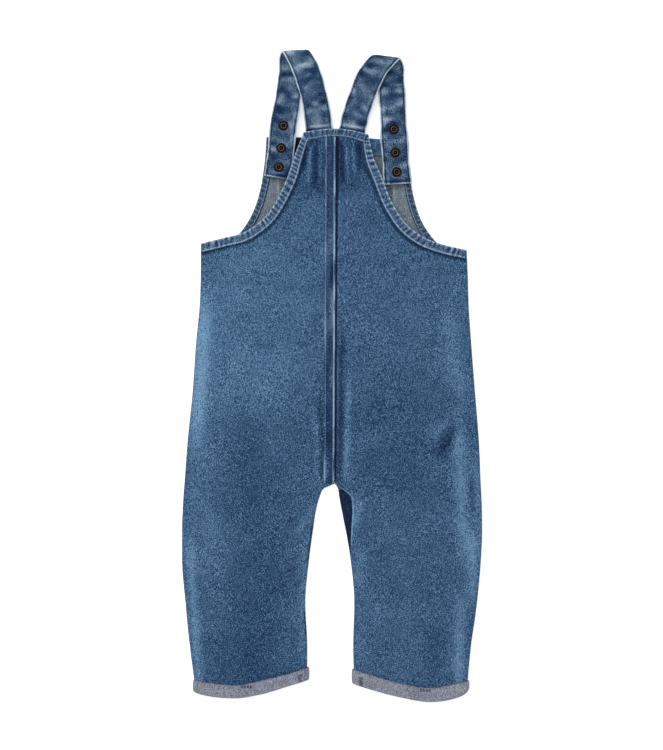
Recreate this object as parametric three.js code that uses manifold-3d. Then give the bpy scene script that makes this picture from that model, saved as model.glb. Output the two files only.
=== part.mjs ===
// Baby dungarees in denim, laid flat on their front with the back upwards.
// Millimetres. +X runs across the garment, +Y from the hems to the shoulders, +Z up.
// The origin is on the surface that they lie on, under the middle of their outline.
// "left" is the -X half and "right" the +X half.
import * as THREE from 'three';
import { mergeVertices } from 'three/addons/utils/BufferGeometryUtils.js';
import Module from 'manifold-3d';

const wasm = await Module();
wasm.setup();

// ---- Driving sizes -------------------------------------------------------
const CLOTH = 1.2;             // one layer of denim
const TURNING = 1.0;           // a turned hem, facing or label
const STRAP_WIDTH = 24.6;
const STRAP_THICKNESS = 2.2;   // four layers of denim
const CUFF_WALL = 1.6;         // the rolled-up hem
const GAP = 0.3;               // between pieces that meet
const LAID_GAP = 2.0;          // air between the front and the back
const FELL_WIDTH = 10.2;       // the flat-felled centre back seam
// Turned edges: their width round the armhole, at its top corner and along the top edge.
const BACK_BANDS = { armhole: 8.7, corner: 6.1, top: 7.2 };
const FRONT_FACINGS = { armhole: 6.6, corner: 6.6, top: 15.5 };
const FAN_START = 92;          // above this the columns fan out to the armhole
const BIB_LIFT = 1.3;          // the bib lies on the caps of its snaps
const CROTCH = -99;            // where the legs part
const SEAM_FOOT = 2.4;         // centre seam's x at the crotch
const SEAM_HEAD = 3.7;         // centre seam's x at the top edge
const BACK_TOP = 226.6;        // the back's top edge at the seam

const denim = { color: 0x44678c, roughness: 0.92, metalness: 0 };
const reverse = { color: 0x7e8696, roughness: 0.95, metalness: 0 };
const labelCloth = { color: 0x111114, roughness: 0.9, metalness: 0 };
const darkMetal = { color: 0x2a241e, roughness: 0.42, metalness: 1 };

// ---- Outlines ------------------------------------------------------------
// Each row is one level: y, the side edge, the inner leg edge (null above the crotch),
// and wrap, how far the front cloth rolls over the inner edge and shows on the back.
const LEVELS = {
  left: [
    { y: -250, side: -130.8, leg: -22.8, wrap: 0 },
    { y: -210, side: -134.9, leg: -24.6, wrap: 0 },
    { y: -168, side: -138.2, leg: -21.0, wrap: 0 },
    { y: -142, side: -138.2, leg: -17.5, wrap: 0 },
    { y: -122, side: -137.5, leg: -14.3, wrap: 0 },
    { y: -110, side: -136.8, leg: -10.8, wrap: 0 },
    { y: -104, side: -136.3, leg: -7.6, wrap: 0 },
    { y: CROTCH, side: -135.9, leg: null, wrap: 0 },
    { y: -60, side: -133.0, leg: null, wrap: 0 },
    { y: -15, side: -128.4, leg: null, wrap: 0 },
    { y: 30, side: -125.3, leg: null, wrap: 0 },
    { y: 65, side: -121.9, leg: null, wrap: 0 },
    { y: FAN_START, side: -120.9, leg: null, wrap: 0 },
  ],
  right: [
    { y: -250, side: 127.8, leg: 19.4, wrap: 0 },
    { y: -210, side: 133.4, leg: 20.4, wrap: 0 },
    { y: -168, side: 137.2, leg: 16.8, wrap: 1.5 },
    { y: -142, side: 138.2, leg: 12.4, wrap: 4.5 },
    { y: -122, side: 138.0, leg: 8.2, wrap: 9.0 },
    { y: -110, side: 137.5, leg: 6.1, wrap: 9.5 },
    { y: -104, side: 137.2, leg: 4.8, wrap: 5.0 },
    { y: CROTCH, side: 136.9, leg: null, wrap: 0 },
    { y: -60, side: 135.2, leg: null, wrap: 0 },
    { y: -15, side: 131.6, leg: null, wrap: 0 },
    { y: 30, side: 128.1, leg: null, wrap: 0 },
    { y: 65, side: 125.8, leg: null, wrap: 0 },
    { y: FAN_START, side: 125.0, leg: null, wrap: 0 },
  ],
};

// Armholes, from the side seam up to the top corner. z is the cloth's underside on the edge.
const BACK_ARMHOLE = {
  left: [
    { x: -120.8, y: 121.4, z: 3.4 },
    { x: -99.0, y: 126.7, z: 3.8 },
    { x: -80.5, y: 131.8, z: 4.6 },
    { x: -63.0, y: 144.0, z: 6.4 },
    { x: -52.0, y: 158.6, z: 8.6 },
    { x: -41.6, y: 180.0, z: 9.5 },
    { x: -33.6, y: 203.6, z: 9.5 },
    { x: -26.0, y: 223.2, z: 8.4 },
  ],
  right: [
    { x: 123.9, y: 115.4, z: 3.4 },
    { x: 103.2, y: 120.1, z: 3.8 },
    { x: 84.2, y: 127.0, z: 4.6 },
    { x: 68.0, y: 139.2, z: 6.4 },
    { x: 54.6, y: 159.5, z: 8.8 },
    { x: 46.2, y: 180.8, z: 9.5 },
    { x: 38.0, y: 200.0, z: 9.2 },
    { x: 33.4, y: 221.0, z: 8.2 },
  ],
};
const FRONT_ARMHOLE = {
  left: [
    { x: -120.8, y: 121.4, z: 0 },
    { x: -101.0, y: 119.8, z: 0 },
    { x: -86.6, y: 129.4, z: 0 },
    { x: -74.3, y: 147.5, z: 0.3 },
    { x: -66.6, y: 169.2, z: 1.0 },
    { x: -62.2, y: 195.5, z: BIB_LIFT },
    { x: -60.4, y: 219.4, z: BIB_LIFT },
  ],
  right: [
    { x: 123.9, y: 115.4, z: 0 },
    { x: 110.0, y: 113.8, z: 0 },
    { x: 96.4, y: 122.6, z: 0 },
    { x: 83.4, y: 140.4, z: 0.3 },
    { x: 75.8, y: 161.8, z: 1.0 },
    { x: 71.4, y: 188.4, z: BIB_LIFT },
    { x: 70.6, y: 215.4, z: BIB_LIFT },
  ],
};
// Height of the top edges at the centre seam: y, and the cloth's underside.
const BACK_MIDDLE = { y: BACK_TOP, z: 6.9 };
const FRONT_MIDDLE = { y: 219.2, z: BIB_LIFT };

// Cuffs: share of the way from the side edge to the inner edge, upper and lower edge.
const CUFFS = {
  left: [
    { share: 0.0, upper: -280.0, lower: -290.4 },
    { share: 0.08, upper: -281.4, lower: -293.4 },
    { share: 0.36, upper: -284.6, lower: -296.6 },
    { share: 0.6, upper: -280.0, lower: -292.6 },
    { share: 0.82, upper: -274.0, lower: -285.6 },
    { share: 1.0, upper: -268.0, lower: -279.6 },
  ],
  right: [
    { share: 0.0, upper: -280.4, lower: -288.6 },
    { share: 0.04, upper: -281.2, lower: -292.8 },
    { share: 0.14, upper: -283.8, lower: -297.2 },
    { share: 0.33, upper: -287.0, lower: -300.0 },
    { share: 0.6, upper: -282.6, lower: -295.4 },
    { share: 0.84, upper: -275.0, lower: -288.6 },
    { share: 1.0, upper: -269.6, lower: -283.0 },
  ],
};
const CUFF_ENDS = { left: [-128.0, -21.0], right: [126.2, 18.2] };

// Straps, from the root under the back's top edge, over the fold, to the end inside the bib.
// x, y, z is the middle of the strap; turn is how far its width leans from +X, in degrees;
// tip is the side view's slope there, from 0 flat and going up to 180 flat and going down.
const STRAPS = {
  left: [
    { x: -11.2, y: 220.6, z: 5.4, turn: 6.2, tip: 0 },
    { x: -12.1, y: 228.0, z: 5.4, turn: 6.2, tip: 0 },
    { x: -13.8, y: 242.4, z: 6.6, turn: 9, tip: 0 },
    { x: -16.9, y: 257.5, z: 8.6, turn: 14, tip: 0 },
    { x: -20.9, y: 272.0, z: 9.3, turn: 17, tip: 0 },
    { x: -25.6, y: 284.5, z: 9.4, turn: 14, tip: 0 },
    { x: -29.4, y: 291.6, z: 9.2, turn: 10, tip: 12 },
    { x: -32.2, y: 296.2, z: 8.0, turn: 6, tip: 48 },
    { x: -34.0, y: 298.0, z: 5.9, turn: 3, tip: 90 },
    { x: -35.4, y: 296.4, z: 3.6, turn: 0, tip: 135 },
    { x: -36.5, y: 290.6, z: 2.2, turn: -2, tip: 172 },
    { x: -37.5, y: 277.0, z: 2.2, turn: -5, tip: 180 },
    { x: -39.8, y: 260.0, z: 5.2, turn: -7, tip: 180 },
    { x: -42.2, y: 243.0, z: 7.6, turn: -7, tip: 180 },
    { x: -44.6, y: 229.2, z: 7.9, turn: -6.5, tip: 180 },
    { x: -46.6, y: 208.7, z: 7.9, turn: -6.5, tip: 180 },
    { x: -48.9, y: 191.2, z: 7.9, turn: -8, tip: 180 },
    { x: -50.3, y: 181.6, z: 7.9, turn: -9, tip: 180 },
  ],
  right: [
    { x: 17.6, y: 220.6, z: 5.4, turn: -6, tip: 0 },
    { x: 19.0, y: 228.0, z: 5.4, turn: -8, tip: 0 },
    { x: 22.4, y: 241.5, z: 6.6, turn: -14, tip: 0 },
    { x: 28.0, y: 257.5, z: 8.6, turn: -19, tip: 0 },
    { x: 33.6, y: 271.6, z: 9.3, turn: -21, tip: 0 },
    { x: 40.0, y: 282.4, z: 9.4, turn: -18, tip: 0 },
    { x: 44.6, y: 287.6, z: 9.2, turn: -14, tip: 12 },
    { x: 48.6, y: 291.4, z: 8.0, turn: -10, tip: 48 },
    { x: 51.0, y: 292.4, z: 5.9, turn: -7, tip: 90 },
    { x: 52.6, y: 290.0, z: 3.6, turn: -4, tip: 135 },
    { x: 53.7, y: 285.0, z: 2.2, turn: -1, tip: 172 },
    { x: 54.6, y: 271.0, z: 2.2, turn: 1, tip: 180 },
    { x: 55.3, y: 256.0, z: 5.2, turn: 1, tip: 180 },
    { x: 56.0, y: 240.0, z: 7.6, turn: 1.5, tip: 180 },
    { x: 56.7, y: 225.8, z: 7.9, turn: 2, tip: 180 },
    { x: 58.0, y: 204.6, z: 7.9, turn: 4, tip: 180 },
    { x: 59.4, y: 186.7, z: 7.9, turn: 5, tip: 180 },
    { x: 60.4, y: 175.8, z: 7.9, turn: 3, tip: 180 },
  ],
};
// Which station of a strap each snap goes through, and which of them the bib's snap holds.
const SNAP_STATIONS = [14, 15, 16];
const FASTENED = 15;

// Snap, as a turned profile: radius and height from the strap's mid-plane.
const SNAP_PROFILE = [
  { r: 0, h: -3.1 }, { r: 1.8, h: -3.1 }, { r: 1.8, h: -2.0 }, { r: 4.0, h: -2.0 },
  { r: 4.0, h: -1.4 }, { r: 1.5, h: -1.4 }, { r: 1.5, h: 1.4 }, { r: 4.6, h: 1.4 },
  { r: 4.6, h: 1.9 }, { r: 3.4, h: 2.5 }, { r: 2.7, h: 2.1 }, { r: 1.8, h: 2.4 },
  { r: 1.1, h: 1.8 }, { r: 0, h: 1.8 },
];
// The bib's snap, with heights from the surface: cap, post and socket.
const BIB_SNAP_PROFILE = [
  { r: 0, h: 0 }, { r: 5.4, h: 0 }, { r: 6.0, h: 0.5 }, { r: 6.0, h: 1.0 }, { r: 1.5, h: 1.0 },
  { r: 1.5, h: 4.1 }, { r: 4.7, h: 4.1 }, { r: 4.7, h: 5.5 }, { r: 2.2, h: 5.5 }, { r: 2.2, h: 4.5 },
  { r: 0, h: 4.5 },
];
const SNAP_SIDES = 12;
const SHANK_HOLE = 1.8;

const LABEL = { left: -40, right: 31, top: 218.6, bottom: 203.2 };

// ---- Helpers -------------------------------------------------------------
const lerp = THREE.MathUtils.lerp;
const rad = THREE.MathUtils.degToRad;

// x of the centre seam at height y.
function seamX(y) {
  return lerp(SEAM_FOOT, SEAM_HEAD, (y - CROTCH) / (BACK_TOP - CROTCH));
}

// A value from a table's named column, linear between its rows.
function lookUp(table, keyName, key, column) {
  const last = table.length - 1;
  let i = 0;
  while (i < last - 1 && key > table[i + 1][keyName]) i++;
  const share = (key - table[i][keyName]) / (table[i + 1][keyName] - table[i][keyName]);
  return lerp(table[i][column], table[i + 1][column], THREE.MathUtils.clamp(share, 0, 1));
}

// A flattened tube's edge. reach is the distance along the cloth from the edge's outermost
// line, + over the top and - under the bottom; depth moves into the cloth.
function rollPoint(edge, inward, radius, middle, reach, depth, y) {
  const quarter = radius * Math.PI / 2;
  const side = Math.sign(reach) || 1;
  const bend = Math.min(Math.abs(reach), quarter) / radius;
  const flat = Math.max(Math.abs(reach) - quarter, 0);
  const r = radius - depth;
  const across = radius - r * Math.cos(bend) + flat;
  return new THREE.Vector3(edge + inward * across, y, middle + side * r * Math.sin(bend));
}

// A closed solid between two grids of points, with rims round the open edges.
// A closed grid joins its last column to its first and has rims only at its two ends.
function sheetGeometry(outer, inner, closed = false) {
  const rows = outer.length;
  const columns = outer[0].length;
  const points = [...outer.flat(), ...inner.flat()];
  const at = (layer, i, j) => layer * rows * columns + i * columns + (j % columns);
  const faces = [];
  const quad = (a, b, c, d) => faces.push(a, b, c, a, c, d);
  const spans = closed ? columns : columns - 1;
  for (let i = 0; i < rows - 1; i++) {
    for (let j = 0; j < spans; j++) {
      quad(at(0, i, j), at(0, i, j + 1), at(0, i + 1, j + 1), at(0, i + 1, j));
      quad(at(1, i, j), at(1, i + 1, j), at(1, i + 1, j + 1), at(1, i, j + 1));
    }
  }
  for (let j = 0; j < spans; j++) {
    quad(at(0, 0, j), at(1, 0, j), at(1, 0, j + 1), at(0, 0, j + 1));
    quad(at(0, rows - 1, j), at(0, rows - 1, j + 1), at(1, rows - 1, j + 1), at(1, rows - 1, j));
  }
  for (let i = 0; i < rows - 1 && !closed; i++) {
    quad(at(0, i, 0), at(0, i + 1, 0), at(1, i + 1, 0), at(1, i, 0));
    quad(at(0, i, spans), at(1, i, spans), at(1, i + 1, spans), at(0, i + 1, spans));
  }
  return facingOut(points, faces);
}

// Turns the faces round if they enclose a negative volume.
function facingOut(points, faces) {
  let volume = 0;
  for (let i = 0; i < faces.length; i += 3) {
    const [a, b, c] = [points[faces[i]], points[faces[i + 1]], points[faces[i + 2]]];
    volume += a.dot(new THREE.Vector3().crossVectors(b, c));
  }
  if (volume < 0) faces.reverse();
  const geometry = new THREE.BufferGeometry().setFromPoints(points);
  geometry.setIndex(faces);
  return geometry;
}

function named(name, geometry, finish) {
  const flat = geometry.index ? geometry.toNonIndexed() : geometry;
  flat.computeVertexNormals();
  const mesh = new THREE.Mesh(flat, new THREE.MeshStandardMaterial(finish));
  mesh.name = name;
  return mesh;
}

function toSolid(geometry) {
  const bare = geometry.clone();
  bare.deleteAttribute('normal');
  bare.deleteAttribute('uv');
  const merged = mergeVertices(bare, 1e-3);
  return new wasm.Manifold(new wasm.Mesh({
    numProp: 3,
    vertProperties: merged.attributes.position.array,
    triVerts: new Uint32Array(merged.index.array),
  }));
}

function fromSolid(solid) {
  const mesh = solid.getMesh();
  const geometry = new THREE.BufferGeometry();
  geometry.setAttribute('position', new THREE.BufferAttribute(mesh.vertProperties, 3));
  geometry.setIndex(new THREE.BufferAttribute(mesh.triVerts, 1));
  return geometry;
}

// Punches upright round holes for the snaps' posts.
function pierced(geometry, places) {
  let solid = toSolid(geometry);
  for (const place of places) {
    const drill = new THREE.CylinderGeometry(SHANK_HOLE, SHANK_HOLE, 40, SNAP_SIDES);
    drill.rotateX(Math.PI / 2);
    drill.translate(place.x, place.y, place.z);
    solid = solid.subtract(toSolid(drill));
  }
  return fromSolid(solid);
}

// ---- The four main panels ------------------------------------------------
const ARMHOLE_COLUMNS = 10;
const EDGE_COLUMNS = 2;
const ROLL_COLUMNS = 3;
const SIDE_SEAM = 0.22;        // each panel stops this far from the side's outermost line
const TUCK = CUFF_WALL + GAP;  // the legs sit this far inside their cuffs
const HEM_UP = 1.5;            // the leg ends this far above the cuff's lower edge
const CUFF_CLEAR = 5;          // the leg starts to narrow this far above the cuff

// The two faces' heights at a level: where the front's underside and the back's top lie.
function faceHeights(tucked) {
  const low = tucked ? TUCK : 0;
  return { low, high: low + CLOTH + LAID_GAP + CLOTH };
}

// Reaches, from the edge's outermost line, of a panel's columns at an inner edge:
// the first lies FELL_WIDTH in from the edge, the last on the seam.
function innerReaches(isBack, radius, wrap, count) {
  const quarter = radius * Math.PI / 2;
  const start = quarter + FELL_WIDTH - radius;
  const seam = wrap + (isBack ? GAP / 2 : -GAP / 2);
  const bendStart = isBack ? Math.max(quarter, (seam + start) / 2) : -quarter;
  const reaches = [isBack ? start : -start];
  for (let k = 0; k < count; k++) reaches.push(lerp(bendStart, seam, k / (count - 1)));
  return reaches;
}

// One point of a panel as its outer and inner surface.
function pair(outer, inner) {
  return { outer, inner };
}

function shifted(p, dx, dy) {
  const move = new THREE.Vector3(dx, dy, 0);
  return pair(p.outer.clone().add(move), p.inner.clone().add(move));
}

// One level of a panel, from its side seam to its inner edge or the centre seam.
// yAt gives y for a share of the way across, because hems are curved.
function panelLevel(side, isBack, row, yAt, tucked) {
  const inward = side === 'left' ? 1 : -1;
  const { low, high } = faceHeights(tucked);
  const radius = (high - low) / 2;
  const middle = (high + low) / 2;
  const face = isBack ? 1 : -1;
  const quarter = radius * Math.PI / 2;
  const bothAt = (edge, way, reach, y) => pair(
    rollPoint(edge, way, radius, middle, reach, 0, y),
    rollPoint(edge, way, radius, middle, reach, CLOTH, y),
  );
  const points = [];
  for (let k = 0; k < ROLL_COLUMNS; k++) {
    const reach = face * lerp(SIDE_SEAM, quarter, k / (ROLL_COLUMNS - 1));
    points.push(bothAt(row.side, inward, reach, yAt(0)));
  }
  const seam = seamX(row.y) - inward * GAP / 2;
  const innerEdge = row.leg === null ? seam : row.leg;
  const from = row.side + inward * radius;
  const to = innerEdge - inward * FELL_WIDTH;
  const spans = ARMHOLE_COLUMNS + EDGE_COLUMNS;
  for (let k = 1; k < spans; k++) {
    const x = lerp(from, to, k / spans);
    const y = yAt((x - row.side) / (innerEdge - row.side));
    points.push(pair(
      new THREE.Vector3(x, y, middle + face * radius),
      new THREE.Vector3(x, y, middle + face * (radius - CLOTH)),
    ));
  }
  const count = isBack ? 4 : 5;
  const reaches = innerReaches(isBack, radius, row.wrap, count);
  reaches.forEach((reach, k) => {
    if (row.leg !== null) {
      points.push(bothAt(innerEdge, -inward, reach, yAt(1)));
      return;
    }
    const x = k === 0 ? to : lerp(to, innerEdge, (k + 0.5) / (count + 0.5));
    points.push(pair(
      new THREE.Vector3(x, yAt(1), middle + face * radius),
      new THREE.Vector3(x, yAt(1), middle + face * (radius - CLOTH)),
    ));
  });
  return points;
}

// The panel's upper outline: side corner, armhole, top corner, then the top edge to the seam.
function upperOutline(side, isBack, columns) {
  const inward = side === 'left' ? 1 : -1;
  const holes = (isBack ? BACK_ARMHOLE : FRONT_ARMHOLE)[side];
  const centre = isBack ? BACK_MIDDLE : FRONT_MIDDLE;
  const points = holes.map((p) => new THREE.Vector3(p.x, p.y, p.z));
  const curve = new THREE.CatmullRomCurve3(points);
  const outline = [];
  // The last span is longer than the top band is wide, so that the two bands can turn the corner.
  const topWidth = (isBack ? BACK_BANDS : FRONT_FACINGS).top;
  const lastSpan = Math.max(1 / ARMHOLE_COLUMNS, 1.25 * topWidth / curve.getLength());
  for (let k = 1; k < ARMHOLE_COLUMNS; k++) {
    outline.push(curve.getPointAt((1 - lastSpan) * k / (ARMHOLE_COLUMNS - 1)));
  }
  outline.push(points[points.length - 1]);
  // The curve swings slightly below the surface before it rises to the bib.
  outline.forEach((p) => p.setZ(Math.max(p.z, 0)));
  const corner = outline[outline.length - 1];
  const seam = seamX(centre.y) - inward * GAP / 2;
  const fell = seam - inward * FELL_WIDTH;
  const topAt = (x) => {
    const share = (x - corner.x) / (seam - corner.x);
    const eased = Math.sin(share * Math.PI / 2);
    return new THREE.Vector3(x, lerp(corner.y, centre.y, eased), lerp(corner.z, centre.z, share));
  };
  for (let k = 1; k <= EDGE_COLUMNS; k++) outline.push(topAt(lerp(corner.x, fell, k / EDGE_COLUMNS)));
  for (let k = 0; k < columns; k++) outline.push(topAt(lerp(fell, seam, (k + 1.5) / (columns + 0.5))));
  return outline;
}

// The line that a band's inner edge follows, one point for each outline point.
function bandLine(outline, side, widths) {
  const inward = side === 'left' ? 1 : -1;
  const corner = ARMHOLE_COLUMNS - 1;
  return outline.map((p, k) => {
    if (k > corner) return new THREE.Vector3(p.x, p.y - widths.top, p.z);
    const before = outline[Math.max(k - 1, 0)];
    const after = outline[Math.min(k + 1, corner)];
    const along = new THREE.Vector2(after.x - before.x, after.y - before.y).normalize();
    if (k === corner) {
      const x = p.x + (inward * widths.corner - along.x * widths.top) / along.y;
      return new THREE.Vector3(x, p.y - widths.top, p.z);
    }
    const [dx, dy] = [Math.abs(along.y), -Math.abs(along.x)];
    return new THREE.Vector3(p.x + inward * dx * widths.armhole, p.y + dy * widths.armhole, p.z);
  });
}

// One half panel as rows of {outer, inner} points, from the hem to the upper outline.
function panelRows(side, isBack) {
  const inward = side === 'left' ? 1 : -1;
  const cuff = CUFFS[side];
  const levels = LEVELS[side];
  const [cuffSide, cuffLeg] = CUFF_ENDS[side];
  const hem = { y: -275, side: cuffSide + inward * TUCK, leg: cuffLeg - inward * TUCK, wrap: 0 };
  const rows = [
    panelLevel(side, isBack, hem, (s) => lookUp(cuff, 'share', s, 'lower') + HEM_UP, true),
    panelLevel(side, isBack, hem, (s) => lookUp(cuff, 'share', s, 'upper') + CUFF_CLEAR, true),
    ...levels.map((row) => panelLevel(side, isBack, row, () => row.y, false)),
  ];
  const base = rows[rows.length - 1];
  const columns = base.length - ROLL_COLUMNS - ARMHOLE_COLUMNS - EDGE_COLUMNS;
  const outline = upperOutline(side, isBack, columns);
  const widths = isBack ? BACK_BANDS : FRONT_FACINGS;
  const band = bandLine(outline, side, widths);
  const holes = (isBack ? BACK_ARMHOLE : FRONT_ARMHOLE)[side];
  const corner = holes[0];
  const fan = (share, target) => base.map((from, j) => {
    if (j < ROLL_COLUMNS) {
      const shift = (corner.x - levels[levels.length - 1].side) * share;
      return shifted(from, shift, (corner.y - FAN_START) * share);
    }
    const to = target[j - ROLL_COLUMNS];
    const rise = isBack ? to.z - CLOTH - LAID_GAP : to.z;
    const lift = rise * share * share;
    const x = lerp(from.outer.x, to.x, share);
    const y = lerp(FAN_START, to.y, share);
    return pair(
      new THREE.Vector3(x, y, from.outer.z + lift), new THREE.Vector3(x, y, from.inner.z + lift));
  });
  rows.push(fan(0.36, band), fan(0.7, band));
  const innerRow = fan(1, band);
  // The side corner's columns stay a band's width below the corner.
  for (let j = 0; j < ROLL_COLUMNS; j++) {
    innerRow[j].outer.y = corner.y - widths.armhole;
    innerRow[j].inner.y = corner.y - widths.armhole;
  }
  rows.push(innerRow, fan(1, outline));
  return rows;
}

const grid = (rows, layer) => rows.map((row) => row.map((p) => p[layer]));

// A layer that lies on a panel: the panel's own points, moved out by a gap.
// It lies on the outside of the back and on the inside of the front.
function layerOn(rows, isBack, thickness) {
  const [near, far] = isBack ? ['outer', 'inner'] : ['inner', 'outer'];
  const raised = (height) => rows.map((row) => row.map((p) => {
    const away = p[near].clone().sub(p[far]).normalize();
    return p[near].clone().addScaledVector(away, height);
  }));
  return sheetGeometry(raised(GAP + thickness), raised(GAP));
}

// Part of a panel's grid: rows from..to and columns from..to, both included.
function patch(rows, firstRow, lastRow, firstColumn, lastColumn) {
  return rows.slice(firstRow, lastRow + 1).map((row) => row.slice(firstColumn, lastColumn + 1));
}

// Moves one column of a patch along its rows, so that neighbours keep a gap.
function drawnBack(rows, column, dx) {
  return rows.map((row) => row.map((p, j) => (j === column ? shifted(p, dx, 0) : p)));
}

// ---- Cuffs ---------------------------------------------------------------
const CUFF_ACROSS = 9;
const CUFF_ROLL = 6;

// The rolled-up hem: a flattened tube round the end of a leg.
function cuffGeometry(side) {
  const inward = side === 'left' ? 1 : -1;
  const [from, to] = CUFF_ENDS[side];
  const { high } = faceHeights(true);
  const top = high + TUCK;
  const radius = top / 2;
  const quarter = radius * Math.PI / 2;
  const levelOf = (column, depth) => {
    const ring = [];
    const yAt = (x) => lookUp(CUFFS[side], 'share', (x - from) / (to - from), column);
    const flat = (x, z) => ring.push(new THREE.Vector3(x, yAt(x), z));
    const roll = (edge, way, sign) => {
      for (let k = 0; k <= CUFF_ROLL; k++) {
        const reach = sign * lerp(quarter, -quarter, k / CUFF_ROLL);
        const point = rollPoint(edge, way, radius, radius, reach, depth, 0);
        ring.push(point.setY(yAt(edge)));
      }
    };
    const span = (sign) => {
      for (let k = 1; k < CUFF_ACROSS; k++) {
        const share = sign > 0 ? k / CUFF_ACROSS : 1 - k / CUFF_ACROSS;
        const x = lerp(from + inward * radius, to - inward * radius, share);
        flat(x, sign > 0 ? top - depth : depth);
      }
    };
    span(1);
    roll(to, -inward, 1);
    span(-1);
    roll(from, inward, -1);
    return ring;
  };
  const outer = [levelOf('upper', 0), levelOf('lower', 0)];
  const inner = [levelOf('upper', CUFF_WALL), levelOf('lower', CUFF_WALL)];
  return sheetGeometry(outer, inner, true);
}

// ---- Straps --------------------------------------------------------------
// The strap's surface at one station: three points across, on its outer or inner face.
function strapStation(station, offset) {
  const turn = rad(station.turn);
  const tip = rad(station.tip);
  const across = new THREE.Vector3(Math.cos(turn), Math.sin(turn), 0);
  const ahead = new THREE.Vector3(-Math.sin(turn), Math.cos(turn), 0);
  const normal = new THREE.Vector3(0, 0, Math.cos(tip)).addScaledVector(ahead, Math.sin(tip));
  const middle = new THREE.Vector3(station.x, station.y, station.z).addScaledVector(normal, offset);
  return [-0.5, 0, 0.5].map((s) => middle.clone().addScaledVector(across, s * STRAP_WIDTH));
}

function strapGeometry(side) {
  const face = (offset) => STRAPS[side].map((station) => strapStation(station, offset));
  const ribbon = sheetGeometry(face(STRAP_THICKNESS / 2), face(-STRAP_THICKNESS / 2));
  return pierced(ribbon, SNAP_STATIONS.map((k) => STRAPS[side][k]));
}

// A turned piece with its axis upright.
function turned(profile, place) {
  const outline = profile.map((p) => new THREE.Vector2(p.r, p.h));
  const lathe = new THREE.LatheGeometry(outline, SNAP_SIDES);
  lathe.rotateX(Math.PI / 2);
  lathe.translate(place.x, place.y, place.z);
  return lathe;
}

// ---- Assembly ------------------------------------------------------------
const dungarees = new THREE.Group();
dungarees.name = 'dungarees';

const frontRows = {};
for (const side of ['left', 'right']) {
  const inward = side === 'left' ? 1 : -1;
  const back = panelRows(side, true);
  const front = panelRows(side, false);
  frontRows[side] = front;
  const hole = STRAPS[side][FASTENED];

  const backCloth = sheetGeometry(grid(back, 'outer'), grid(back, 'inner'));
  const frontCloth = sheetGeometry(grid(front, 'outer'), grid(front, 'inner'));
  dungarees.add(named(`back_${side}`, backCloth, denim));
  dungarees.add(named(`front_${side}`, pierced(frontCloth, [hole]), denim));

  // Turned hems on the back's edges: round the armhole, then along the top.
  const lastRow = back.length - 1;
  const corner = ROLL_COLUMNS + ARMHOLE_COLUMNS - 1;
  const armhole = drawnBack(patch(back, lastRow - 1, lastRow, 1, corner), corner - 1, -inward * GAP);
  dungarees.add(named(`back_armhole_band_${side}`, layerOn(armhole, true, TURNING), denim));
  const top = patch(back, lastRow - 1, lastRow, corner, back[0].length - 1);
  dungarees.add(named(`back_top_band_${side}`, layerOn(top, true, TURNING), denim));

  // The front armhole's turned hem lies inside the garment.
  const frontLast = front.length - 1;
  const inside = drawnBack(
    patch(front, frontLast - 1, frontLast, ROLL_COLUMNS, corner), ARMHOLE_COLUMNS - 1, -inward * GAP);
  dungarees.add(named(`front_armhole_facing_${side}`, layerOn(inside, false, TURNING), denim));

  dungarees.add(named(`cuff_${side}`, cuffGeometry(side), reverse));
  dungarees.add(named(`strap_${side}`, strapGeometry(side), denim));
  SNAP_STATIONS.forEach((k, n) => {
    const snap = turned(SNAP_PROFILE, STRAPS[side][k]);
    dungarees.add(named(`snap_${side}_${n + 1}`, snap, darkMetal));
  });
  const bibSnap = turned(BIB_SNAP_PROFILE, { x: hole.x, y: hole.y, z: 0 });
  dungarees.add(named(`bib_snap_${side}`, bibSnap, darkMetal));

  // The centre back seam is felled towards the left.
  if (side === 'left') {
    const crotchRow = 2 + LEVELS.left.findIndex((row) => row.leg === null);
    const firstColumn = ROLL_COLUMNS + ARMHOLE_COLUMNS + EDGE_COLUMNS - 1;
    const fell = patch(back, crotchRow, lastRow - 1, firstColumn, back[0].length - 1);
    fell.push(fell.pop().map((p) => shifted(p, 0, -GAP)));
    dungarees.add(named('back_seam_fell', layerOn(fell, true, TURNING), denim));
  }
}

// The bib's facing is one strip across both halves of the front.
{
  const corner = ROLL_COLUMNS + ARMHOLE_COLUMNS - 1;
  const strip = (side) => {
    const rows = frontRows[side];
    return patch(rows, rows.length - 2, rows.length - 1, corner, rows[0].length - 1);
  };
  const left = strip('left');
  const right = strip('right').map((row) => [...row].reverse());
  const joined = left.map((row, i) => [...row.slice(0, -1), ...right[i].slice(1)]);
  const facing = layerOn(joined, false, TURNING);
  const holes = ['left', 'right'].map((side) => STRAPS[side][FASTENED]);
  dungarees.add(named('bib_facing', pierced(facing, holes), denim));
}

// The label lies on the facing.
{
  const z = BIB_LIFT + CLOTH + GAP + TURNING + GAP;
  const width = LABEL.right - LABEL.left;
  const height = LABEL.top - LABEL.bottom;
  const label = new THREE.BoxGeometry(width, height, TURNING);
  label.translate(LABEL.left + width / 2, LABEL.bottom + height / 2, z + TURNING / 2);
  dungarees.add(named('bib_label', label, labelCloth));
}

export default dungarees;
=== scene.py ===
"""Baby's denim dungarees, laid flat on their front with the back upwards.

Metres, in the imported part's frame: +X across the garment, +Y from the hems to the shoulders,
+Z up. Tables are in millimetres, and MM turns them into metres.
"""

import math

import bmesh
import bpy
import numpy as np
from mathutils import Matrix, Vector
from mathutils.bvhtree import BVHTree

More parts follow.
